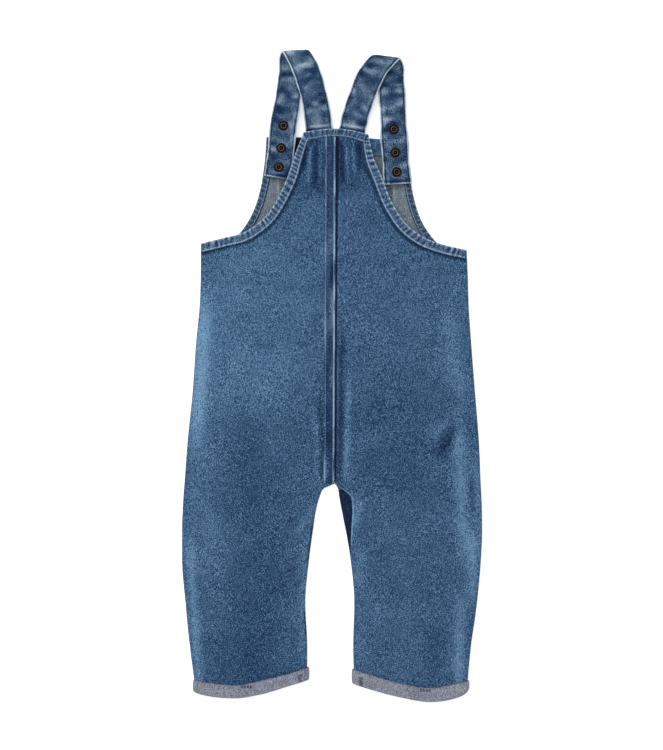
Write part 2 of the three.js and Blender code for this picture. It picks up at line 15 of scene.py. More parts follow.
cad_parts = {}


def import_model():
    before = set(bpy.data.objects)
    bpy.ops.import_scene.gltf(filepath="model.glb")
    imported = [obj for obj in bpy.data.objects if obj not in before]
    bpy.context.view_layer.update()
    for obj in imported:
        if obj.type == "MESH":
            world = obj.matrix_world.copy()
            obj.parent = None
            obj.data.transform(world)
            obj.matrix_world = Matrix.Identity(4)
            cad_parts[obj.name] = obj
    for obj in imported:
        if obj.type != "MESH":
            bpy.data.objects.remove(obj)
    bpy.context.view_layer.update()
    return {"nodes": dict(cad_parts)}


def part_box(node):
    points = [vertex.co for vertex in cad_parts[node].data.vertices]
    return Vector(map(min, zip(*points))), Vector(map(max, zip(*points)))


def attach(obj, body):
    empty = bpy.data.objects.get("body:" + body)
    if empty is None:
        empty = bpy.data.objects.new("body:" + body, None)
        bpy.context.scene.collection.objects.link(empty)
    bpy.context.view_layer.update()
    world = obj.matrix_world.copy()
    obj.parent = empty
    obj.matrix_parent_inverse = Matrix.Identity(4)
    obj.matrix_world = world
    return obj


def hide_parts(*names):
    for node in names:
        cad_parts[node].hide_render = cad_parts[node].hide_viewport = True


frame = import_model()

MM = 0.001


def table(columns, *rows):
    """Rows of numbers as dictionaries that are read by the columns' names."""
    return [dict(zip(columns.split(), row)) for row in rows]


# ---- Driving sizes, in millimetres ------------------------------------------------------
CLOTH = 1.2            # one layer of denim
TURNING = 1.0          # a turned hem, facing or label
STRAP_WIDTH = 24.6
STRAP_THICKNESS = 2.2
CUFF_WALL = 1.6
GAP = 0.3              # between pieces that meet
LAID_GAP = 2.0         # air between the front and the back
SEAM_GAP = 0.02        # the halves meet at the centre seams
FELL_WIDTH = 10.2
BACK_BANDS = {"armhole": 8.7, "corner": 6.1, "top": 7.2}
FRONT_FACINGS = {"armhole": 6.6, "corner": 6.6, "top": 15.5}
FAN_START = 92.0       # above this the columns of a panel fan out to the armhole
CROTCH = -99.0
HEM_LEVEL = -250.0     # below this the rows bend to the curve of the hem
HEM_DEPTH = 25.0       # how far below it the outlines are read
CROTCH_BLEND = 12.0    # the inner legs' edges become round over this length
SEAM_FOOT = 2.4        # centre seam's x at the crotch
SEAM_HEAD = 3.7        # centre seam's x at the top edge
BACK_TOP = 226.6
BIB_LIFT = 1.3
BIB_SEAM_MIDDLE = 3.8  # the two upright rows of stitches inside the bib: middle, reach, foot
BIB_SEAM_REACH = 51.0
BIB_SEAM_FOOT = 112.0
TUCK = CUFF_WALL + GAP
HEM_UP = 1.5
BODY_TOP = 2 * CLOTH + LAID_GAP   # height of the back's upper face over the surface
ROLL = BODY_TOP / 2               # radius of the rolled side edges
ARMHOLE_SHARE = 0.76              # share of a panel's columns that end on the armhole

# ---- Outlines, in millimetres -----------------------------------------------------------
# y: level, side: side edge, leg: inner edge, wrap: how far the front rolls onto the back.
LEVELS = {
    "left": table("y side leg wrap",
        (-300, -126.1, -22.9, 0), (-275, -126.4, -22.9, 0), (-250, -130.8, -22.8, 0),
        (-210, -134.9, -24.6, 0), (-168, -138.2, -21.0, 0), (-142, -138.2, -17.5, 0),
        (-122, -137.5, -14.3, 0), (-110, -136.8, -10.8, 0), (-104, -136.3, -7.6, 0),
        (CROTCH, -135.9, SEAM_FOOT, 0), (-60, -133.0, SEAM_FOOT, 0), (-15, -128.4, SEAM_FOOT, 0),
        (30, -125.3, SEAM_FOOT, 0), (65, -121.9, SEAM_FOOT, 0), (FAN_START, -120.9, SEAM_FOOT, 0)),
    "right": table("y side leg wrap",
        (-300, 124.3, 20.1, 0), (-275, 124.6, 20.1, 0), (-250, 127.8, 19.4, 0),
        (-210, 133.4, 20.4, 0), (-168, 137.2, 16.8, 1.4), (-142, 138.2, 12.4, 6.4),
        (-122, 138.0, 8.2, 11.6), (-110, 137.5, 6.1, 12.2), (-104, 137.2, 4.8, 10.5),
        (CROTCH, 136.9, SEAM_FOOT, 0), (-60, 135.2, SEAM_FOOT, 0), (-15, 131.6, SEAM_FOOT, 0),
        (30, 128.1, SEAM_FOOT, 0), (65, 125.8, SEAM_FOOT, 0), (FAN_START, 125.0, SEAM_FOOT, 0)),
}
# Armholes from the side seam to the top corner; z is the cloth's underside.
BACK_ARMHOLE = {
    "left": table("x y z",
        (-120.8, 121.4, 3.4), (-99.0, 126.7, 3.8), (-80.5, 131.8, 4.6), (-63.0, 144.0, 6.4),
        (-52.0, 158.6, 8.6), (-41.6, 180.0, 9.5), (-33.6, 203.6, 9.5), (-26.0, 223.2, 8.4)),
    "right": table("x y z",
        (123.9, 115.4, 3.4), (103.2, 120.1, 3.8), (84.2, 127.0, 4.6), (68.0, 139.2, 6.4),
        (54.6, 159.5, 8.8), (46.2, 180.8, 9.5), (38.0, 200.0, 9.2), (33.4, 221.0, 8.2)),
}
FRONT_ARMHOLE = {
    "left": table("x y z",
        (-120.8, 121.4, 0), (-101.0, 119.8, 0), (-86.6, 129.4, 0), (-74.3, 147.5, 0.3),
        (-66.6, 169.2, 1.0), (-62.2, 195.5, BIB_LIFT), (-60.4, 219.4, BIB_LIFT)),
    "right": table("x y z",
        (123.9, 115.4, 0), (110.0, 113.8, 0), (96.4, 122.6, 0), (83.4, 140.4, 0.3),
        (75.8, 161.8, 1.0), (71.4, 188.4, BIB_LIFT), (70.6, 215.4, BIB_LIFT)),
}
BACK_MIDDLE = dict(y=BACK_TOP, z=6.9)
FRONT_MIDDLE = dict(y=219.2, z=BIB_LIFT)

CUFFS = {
    "left": table("share upper lower",
        (0.0, -280.0, -290.4), (0.08, -281.4, -293.4), (0.36, -284.6, -296.6),
        (0.6, -280.0, -292.6), (0.82, -274.0, -285.6), (1.0, -268.0, -279.6)),
    "right": table("share upper lower",
        (0.0, -280.4, -288.6), (0.04, -281.2, -292.8), (0.14, -283.8, -297.2),
        (0.33, -287.0, -300.0), (0.6, -282.6, -295.4), (0.84, -275.0, -288.6),
        (1.0, -269.6, -283.0)),
}
CUFF_ENDS = {"left": (-128.0, -21.0), "right": (126.2, 18.2)}

# Straps: the middle of the cloth, turn from +X in degrees, tip of the side view in degrees.
STRAPS = {
    "left": table("x y z turn tip",
        (-11.2, 220.6, 5.4, 6.2, 0), (-12.1, 228.0, 5.4, 6.2, 0), (-13.8, 242.4, 6.6, 9, 0),
        (-16.9, 257.5, 8.6, 14, 0), (-20.9, 272.0, 9.3, 17, 0), (-25.6, 284.5, 9.4, 14, 0),
        (-29.4, 291.6, 9.2, 10, 12), (-32.2, 296.2, 8.0, 6, 48), (-34.0, 298.0, 5.9, 3, 90),
        (-35.4, 296.4, 3.6, 0, 135), (-36.5, 290.6, 2.2, -2, 172), (-37.5, 277.0, 2.2, -5, 180),
        (-39.8, 260.0, 5.2, -7, 180), (-42.2, 243.0, 7.6, -7, 180), (-44.6, 229.2, 7.9, -6.5, 180),
        (-46.6, 208.7, 7.9, -6.5, 180), (-48.9, 191.2, 7.9, -8, 180), (-50.3, 181.6, 7.9, -9, 180)),
    "right": table("x y z turn tip",
        (17.6, 220.6, 5.4, -6, 0), (19.0, 228.0, 5.4, -8, 0), (22.4, 241.5, 6.6, -14, 0),
        (28.0, 257.5, 8.6, -19, 0), (33.6, 271.6, 9.3, -21, 0), (40.0, 282.4, 9.4, -18, 0),
        (44.6, 287.6, 9.2, -14, 12), (48.6, 291.4, 8.0, -10, 48), (51.0, 292.4, 5.9, -7, 90),
        (52.6, 290.0, 3.6, -4, 135), (53.7, 285.0, 2.2, -1, 172), (54.6, 271.0, 2.2, 1, 180),
        (55.3, 256.0, 5.2, 1, 180), (56.0, 240.0, 7.6, 1.5, 180), (56.7, 225.8, 7.9, 2, 180),
        (58.0, 204.6, 7.9, 4, 180), (59.4, 186.7, 7.9, 5, 180), (60.4, 175.8, 7.9, 3, 180)),
}
SNAP_STATIONS = (14, 15, 16)
INWARD = {"left": 1, "right": -1}   # the way along X from a side to the middle
SEEDS = dict(zip(("left", "right"), table("creases wear armhole top strap ruffle cuff",
    (11, 21, 31, 61, 81, 101, 105), (12, 22, 47, 67, 91, 103, 107))))

# Soft creases of the back: both ends, half-width and height (a trough is negative).
CREASES = table("x0 y0 x1 y1 half height",
    (112, 38, 109, -28, 5.0, 0.9), (121, 30, 119, -40, 4.0, -0.7), (114, -46, 98, -76, 5.0, -1.0),
    (108, -42, 90, -60, 5.0, 0.8), (116, -50, 117, -170, 4.5, 1.0),
    (126, -60, 125, -160, 4.0, -0.8), (117, -206, 112, -274, 4.0, 1.0),
    (108, -200, 104, -270, 4.0, -0.6), (-16, -120, -34, -146, 4.5, 1.0),
    (-24, -118, -44, -150, 5.0, -0.8), (-127, -170, -122, -276, 4.0, 0.9),
    (-118, -150, -114, -270, 5.0, -0.7), (-117, 48, -112, -40, 6.0, 0.7),
    (-60, -60, -78, -130, 12.0, -0.6), (-36, -186, -30, -262, 5.0, 0.6),
    (30, -150, 34, -250, 6.0, 0.5), (60, -110, 66, -200, 14.0, -0.5),
    (22, -60, 18, -100, 5.0, 0.6), (14, -40, 12, -96, 4.0, -0.6))
# Worn streaks of the back, with painted shade and highlights on some creases and on the gathers
# under the top band, in the same form: height is how pale, and below 0 how dark.
WEAR_AND_SHADE_STREAKS = table("x0 y0 x1 y1 half height",
    (-117, 70, -125, -60, 7.5, 0.75), (-131, -155, -122, -284, 5.0, 0.46),
    (-118, -60, -116, -190, 20.0, 0.18), (-80, 125, -84, -30, 38.0, 0.18),
    (-22, 140, -24, 0, 26.0, 0.03), (-66, -60, -64, -310, 34.0, -0.15),
    # the second entry below, (-58, -36), is painted shade along the crease trough at (-60, -60)
    (-80, -235, -78, -300, 34.0, -0.12), (-58, -36, -84, -120, 14.0, -0.05),
    (107, 62, 118, -16, 7.0, 0.30), (116, -38, 122, -166, 6.0, 0.45),
    (128, -146, 130, -206, 5.0, 0.42), (119, -206, 116, -285, 5.0, 0.42),
    (132, -80, 136, -170, 5.0, 0.20), (128, -92, 129, -126, 2.6, -0.34),
    # painted shade in the crease trough at (114, -46), and a painted highlight on the crease ridge beside it
    (114, -46, 98, -76, 5.5, -0.45), (108, -42, 90, -58, 5.0, 0.24),
    (50, 10, 56, -112, 34.0, -0.16), (96, -232, 92, -290, 12.0, -0.20),
    (-14, -121, -33, -146, 3.5, 0.34), (-25, -150, -28, -262, 3.2, 0.26),
    (25, -115, 21, -140, 4.0, 0.40), (24, -150, 25, -270, 5.0, 0.12), (9, 40, 7, -98, 3.4, -0.50),
    (15.5, -10, 12, -96, 3.0, 0.40), (-11, -20, -9.5, -98, 2.2, -0.42),
    (-14, -40, -13, -98, 2.0, 0.26), (5.9, 216, 5.0, -98, 0.9, 0.14),
    # a darker area under the top band, then painted shade and highlights on the gathers below it
    (0, 216, 0, 166, 30.0, -0.34), (-25, 214, -26, 190, 1.8, -0.60),
    (-14.5, 214, -15.5, 176, 2.4, -0.55), (-2, 214, -2, 180, 3.0, -0.40),
    (8.5, 214, 9.5, 180, 2.4, -0.50), (23.5, 212, 26, 190, 1.8, -0.60),
    (-20, 212, -22, 176, 1.3, 0.50), (-11, 212, -11.5, 180, 1.1, 0.42),
    (13, 212, 14.5, 178, 1.3, 0.48), (18.5, 212, 21, 184, 1.1, 0.42))
# Painted shade on the inner edge of the left leg, on the side of its roll that turns away from the light.
ROLL_SHADE_EDGES = {"left": table("y0 y1 depth", (-134, -172, 0.7), (-214, -242, 0.6)), "right": []}

# ---- Small helpers ----------------------------------------------------------------------
def column(rows, name):
    """One column of a table."""
    return np.array([row[name] for row in rows], float)


def bell(off, half):
    """1 in the middle of a soft line, falling away on both sides."""
    return np.exp(-(off / half)**2)


def points_of(rows):
    """The x, y and z columns of a table, side by side."""
    return np.stack([column(rows, axis) for axis in "xyz"], axis=1)


def smooth(xs, ys, at):
    """A cubic curve through the points that doesn't overshoot, at the places asked for."""
    xs, ys, at = np.asarray(xs, float), np.asarray(ys, float), np.asarray(at, float)
    step, rise = np.diff(xs), np.diff(ys)
    slope = rise / step
    tangent = np.empty_like(ys)
    tangent[1:-1] = np.where(slope[1:] * slope[:-1] > 0, (slope[1:] + slope[:-1]) / 2, 0)
    tangent[0], tangent[-1] = slope[0], slope[-1]
    limit = 3 * np.minimum(np.abs(np.r_[slope[0], slope]), np.abs(np.r_[slope, slope[-1]]))
    tangent = np.clip(tangent, -limit, limit)
    i = np.clip(np.searchsorted(xs, at) - 1, 0, len(xs) - 2)
    t = np.clip((at - xs[i]) / step[i], 0, 1)
    h = step[i]
    return ((2 * t**3 - 3 * t**2 + 1) * ys[i] + (t**3 - 2 * t**2 + t) * h * tangent[i]
            + (3 * t**2 - 2 * t**3) * ys[i + 1] + (t**3 - t**2) * h * tangent[i + 1])


def along(points, count):
    """count points evenly spaced on a Catmull-Rom curve through the given points."""
    p = np.vstack([2 * points[0] - points[1], points, 2 * points[-1] - points[-2]])
    fine = []
    for i in range(1, len(p) - 2):
        t = np.linspace(0, 1, 24, endpoint=i == len(p) - 3)[:, None]
        a, b, c, d = p[i - 1], p[i], p[i + 1], p[i + 2]
        fine.append(0.5 * (2 * b + (c - a) * t + (2 * a - 5 * b + 4 * c - d) * t**2
                           + (3 * b - a - 3 * c + d) * t**3))
    fine = np.vstack(fine)
    length = np.r_[0, np.cumsum(np.linalg.norm(np.diff(fine[:, :2], axis=0), axis=1))]
    at = np.linspace(0, length[-1], count)
    return np.stack([np.interp(at, length, fine[:, k]) for k in range(fine.shape[1])], axis=1)


def blurred_noise(shape, cells, seed):
    """Smooth seeded noise of about -1 to 1 on a grid, with that many cells each way."""
    source = np.random.default_rng(seed).normal(size=(cells[0] + 4, cells[1] + 4))
    u = np.linspace(1, cells[0] + 1.999, shape[0])
    v = np.linspace(1, cells[1] + 1.999, shape[1])

    def weights(x):
        i = np.floor(x).astype(int)
        t = x - i
        return i, np.stack([(1 - t)**3 / 6, (3 * t**3 - 6 * t**2 + 4) / 6,
                            (-3 * t**3 + 3 * t**2 + 3 * t + 1) / 6, t**3 / 6])

    iu, wu = weights(u)
    iv, wv = weights(v)
    rows = sum(wu[k][:, None] * source[iu - 1 + k] for k in range(4))
    return sum(wv[k][None, :] * rows[:, iv - 1 + k] for k in range(4)) * 1.6


def ridges(rows, x, y):
    """The sum of soft ridges and troughs at the points x, y."""
    total = np.zeros_like(x)
    for row in rows:
        ax, ay = row["x1"] - row["x0"], row["y1"] - row["y0"]
        length2 = ax * ax + ay * ay
        t = ((x - row["x0"]) * ax + (y - row["y0"]) * ay) / length2
        off = np.abs((x - row["x0"]) * ay - (y - row["y0"]) * ax) / math.sqrt(length2)
        fade = np.clip(np.minimum(t + 0.15, 1.15 - t) / 0.3, 0, 1)
        fade = fade * fade * (3 - 2 * fade)
        total += row["height"] * fade * bell(off, row["half"])
    return total


# ---- Meshes -----------------------------------------------------------------------------
def link_piece(name, data):
    """Puts a mesh, curve, lamp or camera into the scene."""
    piece = bpy.data.objects.new(name, data)
    bpy.context.scene.collection.objects.link(piece)
    return piece


def shell(name, outer, inner, fade, closed=False):
    """A closed thin solid between two grids, in millimetres, as an object in metres.
    Its outer face and rims have material 0 and its inner face has material 1."""
    rows, columns = outer.shape[:2]
    points = np.concatenate([outer.reshape(-1, 3), inner.reshape(-1, 3)]) * MM
    index = np.arange(rows * columns).reshape(rows, columns)
    if closed:
        index = np.concatenate([index, index[:, :1]], axis=1)
    under = index + rows * columns

    def quads(a, b, c, d):
        return np.stack([a, b, c, d], axis=-1).reshape(-1, 4)

    upper = quads(index[:-1, :-1], index[:-1, 1:], index[1:, 1:], index[1:, :-1])
    lower = quads(under[:-1, :-1], under[1:, :-1], under[1:, 1:], under[:-1, 1:])
    rims = [quads(index[0, :-1], under[0, :-1], under[0, 1:], index[0, 1:]),
            quads(index[-1, :-1], index[-1, 1:], under[-1, 1:], under[-1, :-1])]
    if not closed:
        rims += [quads(index[:-1, 0], index[1:, 0], under[1:, 0], under[:-1, 0]),
                 quads(index[:-1, -1], under[:-1, -1], under[1:, -1], index[1:, -1])]
    faces = np.concatenate([upper, lower] + rims)
    a, b, c, d = (points[faces[:, k]] for k in range(4))
    volume = (np.cross(a, b) * c).sum() + (np.cross(a, c) * d).sum()
    if volume < 0:
        faces = faces[:, ::-1]
    mesh = bpy.data.meshes.new(name)
    mesh.from_pydata(points.tolist(), [], faces.tolist())
    mesh.polygons.foreach_set("use_smooth", np.ones(len(faces), bool))
    sides = np.zeros(len(faces), np.int32)
    sides[len(upper):len(upper) + len(lower)] = 1
    mesh.polygons.foreach_set("material_index", sides)
    flat = np.asarray(fade, np.float32).reshape(-1)
    layer = mesh.attributes.new("fade", "FLOAT", "POINT")
    layer.data.foreach_set("value", np.concatenate([flat, flat]))
    mesh.update()
    return link_piece(name, mesh)


def wear(piece, *materials):
    """Gives a piece its materials, in slot order."""
    for material in materials:
        piece.data.materials.append(material)


def belongs(piece, slot, *nodes):
    """Sets a piece on the body, in place of its nodes; slot is not used."""
    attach(piece, "root")
    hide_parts(*nodes)


# ---- Materials --------------------------------------------------------------------------
def add_node(tree, kind, inputs=None, **settings):
    """A new node, with its settings, and with each input linked to a socket or given a value."""
    node = tree.nodes.new(kind)
    for key, value in settings.items():
        setattr(node, key, value)
    for key, value in (inputs or {}).items():
        if isinstance(value, bpy.types.NodeSocket):
            tree.links.new(value, node.inputs[key])
        else:
            node.inputs[key].default_value = value
    return node


class Nodes:
    """Short calls for building one material's node tree."""

    def __init__(self, name):
        self.material = bpy.data.materials.new(name)
        self.material.use_nodes = True
        self.tree = self.material.node_tree
        self.tree.nodes.clear()

    def add(self, kind, inputs=None, **settings):
        return add_node(self.tree, kind, inputs, **settings)

    def math(self, operation, a, b=0.0, clamp=False):
        node = self.add("ShaderNodeMath", {0: a, 1: b}, operation=operation, use_clamp=clamp)
        return node.outputs[0]

    def noise(self, vector, scale, detail=2.0, roughness=0.5):
        node = self.add("ShaderNodeTexNoise", {"Vector": vector, "Scale": scale, "Detail": detail,
                                               "Roughness": roughness})
        return node.outputs["Fac"]

    def stretched(self, vector, scale, turn=0.0):
        node = self.add("ShaderNodeMapping", {"Vector": vector, "Scale": scale,
                                              "Rotation": (0, 0, math.radians(turn))})
        return node.outputs["Vector"]

    def around_zero(self, value, amount):
        """Noise of 0 to 1 as -amount to amount."""
        return self.math("MULTIPLY", self.math("SUBTRACT", value, 0.5), 2 * amount)

    def finish(self, shader):
        output = self.add("ShaderNodeOutputMaterial", {"Surface": shader})
        output.is_active_output = True
        return self.material


def linear(r, g, b):
    """A display colour of 0 to 255 as the linear colour of a shader."""
    values = [c / 255 for c in (r, g, b)]
    return tuple(v / 12.92 if v <= 0.04045 else ((v + 0.055) / 1.055)**2.4 for v in values) + (1.0,)


# How many spots or lines of each kind the denim has in a metre.
SLUB_SCALE, SLUB_STRETCH = 1150, (1.0, 0.25, 1.0)
COARSE_SCALE, COARSE_STRETCH = 1500, (1.0, 0.75, 1.0)
FINE_SCALE = 2700
CLOUD_SCALE = 42
TWILL_SCALE, TWILL_SLANT = 330, 28


def denim(name, deep, middle, pale, grain=0.50, use_uv=False, mottle=0.05):
    """Washed denim: warp slubs along the cloth, a fine twill, speckle and worn places.
    The attribute "fade" is above 0 where the cloth is worn pale and where highlights are painted, and below
    0 where it is dark and where shade is painted."""
    n = Nodes(name)
    place = n.add("ShaderNodeTexCoord")
    vector = place.outputs["UV"] if use_uv else place.outputs["Object"]
    fade = n.add("ShaderNodeAttribute", attribute_name="fade").outputs["Fac"]
    slub = n.noise(n.stretched(vector, SLUB_STRETCH), SLUB_SCALE, 1.0)
    coarse = n.noise(n.stretched(vector, COARSE_STRETCH), COARSE_SCALE, 0.0)
    fine = n.noise(vector, FINE_SCALE, 0.0)
    cloud = n.noise(vector, CLOUD_SCALE, 3.0, 0.6)
    slanted = n.stretched(vector, (1, 1, 1), TWILL_SLANT)
    twill = n.add("ShaderNodeTexWave", {"Vector": slanted, "Scale": TWILL_SCALE, "Distortion": 1.2,
                                        "Detail": 1.0, "Detail Scale": 2.0},
                  wave_type="BANDS", bands_direction="X").outputs["Fac"]
    tone = n.around_zero(slub, 0.5 * grain)
    for part, amount in ((coarse, 1.1 * grain), (fine, 1.4 * grain), (twill, 0.08 * grain), (cloud, mottle)):
        tone = n.math("ADD", tone, n.around_zero(part, amount))
    tone = n.math("ADD", tone, n.math("MULTIPLY", fade, 0.5))
    tone = n.math("ADD", tone, 0.5, clamp=True)
    ramp = n.add("ShaderNodeValToRGB", {"Fac": tone})
    ramp.color_ramp.elements[0].color = deep
    ramp.color_ramp.elements[1].color = pale
    middle_stop = ramp.color_ramp.elements.new(0.5)
    middle_stop.color = middle
    relief = n.math("ADD", n.math("MULTIPLY", twill, 0.5), n.math("MULTIPLY", slub, 0.8))
    relief = n.math("ADD", relief, n.math("MULTIPLY", coarse, 0.8))
    bump = n.add("ShaderNodeBump", {"Height": relief, "Strength": 0.55, "Distance": 0.00025})
    shader = n.add("ShaderNodeBsdfPrincipled", {
        "Base Color": ramp.outputs["Color"], "Roughness": 0.92, "Normal": bump.outputs["Normal"],
        "Sheen Weight": 0.12, "Sheen Roughness": 0.5, "Specular IOR Level": 0.15})
    return n.finish(shader.outputs["BSDF"])


def thread(name, colour):
    """Sewing thread, a little lighter and darker from place to place."""
    n = Nodes(name)
    vector = n.add("ShaderNodeTexCoord").outputs["Object"]
    shade = n.noise(vector, 700, 2.0)
    ramp = n.add("ShaderNodeValToRGB", {"Fac": shade})
    ramp.color_ramp.elements[0].color = tuple(0.55 * c for c in colour[:3]) + (1.0,)
    ramp.color_ramp.elements[1].color = tuple(min(1.0, 1.35 * c) for c in colour[:3]) + (1.0,)
    shader = n.add("ShaderNodeBsdfPrincipled", {"Base Color": ramp.outputs["Color"], "Roughness": 0.7,
                                                "Sheen Weight": 0.2})
    return n.finish(shader.outputs["BSDF"])


def metal(name, dark, bright, roughness):
    """Metal with a cloudy patina between two tones."""
    n = Nodes(name)
    vector = n.add("ShaderNodeTexCoord").outputs["Object"]
    patina = n.noise(vector, 1400, 3.0, 0.6)
    ramp = n.add("ShaderNodeValToRGB", {"Fac": patina})
    ramp.color_ramp.elements[0].color = dark
    ramp.color_ramp.elements[1].color = bright
    bump = n.add("ShaderNodeBump", {"Height": patina, "Strength": 0.2, "Distance": 0.0001})
    shader = n.add("ShaderNodeBsdfPrincipled", {
        "Base Color": ramp.outputs["Color"], "Metallic": 1.0, "Roughness": roughness,
        "Normal": bump.outputs["Normal"]})
    return n.finish(shader.outputs["BSDF"])


BLUE = denim("washed denim", linear(3, 16, 46), linear(28, 67, 107), linear(128, 168, 204))
STRAP_BLUE = denim("strap denim", linear(4, 20, 50), linear(38, 76, 114), linear(186, 204, 219),
                   grain=0.44, use_uv=True)
EDGE_BLUE = denim("denim of worn edges", linear(3, 17, 46), linear(36, 71, 110), linear(164, 190, 214),
                  grain=0.32)
DARK_BLUE = denim("unfaded denim", linear(5, 18, 44), linear(34, 62, 94), linear(146, 168, 190))
REVERSE = denim("reverse of the denim", linear(52, 66, 76), linear(110, 127, 138),
                linear(160, 170, 176), grain=0.6)
CUFF_GREY = denim("rolled hem", linear(66, 70, 90), linear(126, 130, 147), linear(186, 188, 200),
                  grain=0.55)
BLACK_CLOTH = denim("black label cloth", linear(6, 6, 8), linear(16, 16, 20), linear(40, 40, 46),
                    grain=0.3)
PALE_THREAD = thread("pale blue thread", linear(150, 172, 196))
TONAL_THREAD = thread("denim blue thread", linear(66, 94, 126))
DARK_THREAD = thread("dark thread", linear(70, 74, 94))
DARK_METAL = metal("dark bronze", linear(20, 17, 15), linear(52, 44, 38), 0.45)
BRASS = metal("worn brass", linear(74, 62, 50), linear(140, 122, 100), 0.42)
# Near-black metal that is painted shade in the snaps' hollows.
HOLLOW_SHADE_METAL = metal("painted hollow shade", linear(6, 6, 7), linear(18, 16, 15), 0.6)


# ---- The four panels --------------------------------------------------------------------
PANEL_COLUMNS = 76
HEM_ROWS = 20
BODY_ROWS = 176
FAN_ROWS = 72
ROLL_COLUMNS = 7
DEEPEST_TROUGH = -0.7  # so that the back stays clear of the front


def seam_x(y):
    """X of the centre seams at a height."""
    return SEAM_FOOT + (SEAM_HEAD - SEAM_FOOT) * (y - CROTCH) / (BACK_TOP - CROTCH)


def rolled(edge, inward, radius, middle, reach, depth):
    """x and z on a rolled edge. reach runs along the cloth, + over the top, - underneath."""
    quarter = radius * math.pi / 2
    bend = np.minimum(np.abs(reach), quarter) / radius
    flat = np.maximum(np.abs(reach) - quarter, 0)
    r = radius - depth
    x = edge + inward * (radius - r * np.cos(bend) + flat)
    return x, middle + np.sign(reach) * r * np.sin(bend)


def outline_of(side, is_back, count):
    """The panel's upper outline as points: count on the armhole, then the top edge to the seam."""
    inward = INWARD[side]
    holes = (BACK_ARMHOLE if is_back else FRONT_ARMHOLE)[side]
    centre = BACK_MIDDLE if is_back else FRONT_MIDDLE
    edge = along(points_of(holes), count[0])
    corner = edge[-1]
    seam = seam_x(centre["y"]) - inward * SEAM_GAP / 2
    x = np.linspace(corner[0], seam, count[1] + 1)[1:]
    share = (x - corner[0]) / (seam - corner[0])
    y = corner[1] + (centre["y"] - corner[1]) * np.sin(share * math.pi / 2)
    z = corner[2] + (centre["z"] - corner[2]) * share
    return np.vstack([edge, np.stack([x, y, z], axis=1)])


def body_rows(side, is_back):
    """Outer and inner rows of one half panel, from the hem up to where its columns fan out."""
    inward = INWARD[side]
    face = 1 if is_back else -1
    levels = LEVELS[side]
    ys = column(levels, "y")
    middle, radius = BODY_TOP / 2, ROLL
    flat_columns = PANEL_COLUMNS - 2 * ROLL_COLUMNS
    body_y = np.linspace(HEM_LEVEL, FAN_START, BODY_ROWS)
    hem_share = np.linspace(1, 0, HEM_ROWS, endpoint=False)
    levels_y = np.r_[HEM_LEVEL - HEM_DEPTH * hem_share, body_y]
    outer, inner = [], []
    for k, y in enumerate(levels_y):
        side_x = smooth(ys, column(levels, "side"), y)
        leg_x = smooth(ys, column(levels, "leg"), y)
        wrap = smooth(ys, column(levels, "wrap"), y)
        split = y < CROTCH
        edge_x = leg_x if split else seam_x(y) - inward * SEAM_GAP / 2
        down = min((CROTCH - y) / CROTCH_BLEND, 1) if split else 0
        reach = face * np.linspace(GAP / 2, radius * math.pi / 2, ROLL_COLUMNS)
        first = [rolled(side_x, inward, radius, middle, reach, d) for d in (0, CLOTH)]
        end_reach = wrap + (GAP / 2 if is_back else -GAP / 2)
        start_reach = max(end_reach + 6, radius * math.pi / 2) if is_back else -radius * math.pi / 2
        reach = np.linspace(start_reach, end_reach, ROLL_COLUMNS)
        last = []
        for d in (0, CLOTH):
            x, z = rolled(edge_x, -inward, radius, middle, reach, d)
            flat_z = middle + face * (radius - d)
            flat_x = edge_x - inward * np.abs(reach - (end_reach if is_back else 0))
            last.append((x * down + flat_x * (1 - down), z * down + flat_z * (1 - down)))
        for d, grid, a, b in ((0, outer, first[0], last[0]), (CLOTH, inner, first[1], last[1])):
            x = np.linspace(a[0][-1], b[0][0], flat_columns + 2)[1:-1]
            z = np.full(flat_columns, middle + face * (radius - d))
            row_x = np.r_[a[0], x, b[0]]
            row_z = np.r_[a[1], z, b[1]]
            row_y = np.full(PANEL_COLUMNS, y)
            if k < HEM_ROWS:
                share = np.clip((row_x - side_x) / (leg_x - side_x), 0, 1)
                cuff = CUFFS[side]
                hem = smooth(column(cuff, "share"), column(cuff, "lower"), share) + HEM_UP
                row_y = HEM_LEVEL + (hem - HEM_LEVEL) * hem_share[k]
                row_z = row_z + TUCK * min(1.6 * hem_share[k], 1)
            grid.append(np.stack([row_x, row_y, row_z], axis=1))
    return outer, inner


def fan_rows(side, is_back, outer, inner):
    """Adds the rows above, whose columns open out to the armhole and the top edge."""
    base = (outer[-1], inner[-1])
    free = PANEL_COLUMNS - ROLL_COLUMNS
    arm_count = int(round(ARMHOLE_SHARE * free))
    outline = outline_of(side, is_back, (arm_count + 1, free - arm_count))[1:]
    corner = (BACK_ARMHOLE if is_back else FRONT_ARMHOLE)[side][0]
    rolls = slice(0, ROLL_COLUMNS)
    rest = slice(ROLL_COLUMNS, None)
    for t in np.linspace(0, 1, FAN_ROWS + 1)[1:]:
        for grid, start in ((outer, base[0]), (inner, base[1])):
            row = start.copy()
            row[rolls, 0] += (corner["x"] - LEVELS[side][-1]["side"]) * t
            row[rolls, 1] += (corner["y"] - FAN_START) * t
            row[rest, :2] += (outline[:, :2] - start[rest, :2]) * t
            rise = outline[:, 2] - (CLOTH + LAID_GAP if is_back else 0)
            row[rest, 2] += rise * t * t
            grid.append(row)
    return np.array(outer), np.array(inner)


def pucker(x, y, seed):
    """Small gathers under the back's top edge."""
    depth = np.clip((y - 168) / 46, 0, 1)**1.5
    wobble = np.random.default_rng(seed)
    total = np.zeros_like(x)
    for _ in range(9):
        at, half, reach = wobble.uniform(-30, 36), wobble.uniform(1.6, 3.0), wobble.uniform(8, 34)
        near = bell(x - at, half) * np.clip((y - (214 - reach)) / reach, 0, 1)
        total += wobble.uniform(-0.55, 0.55) * near
    return total * depth


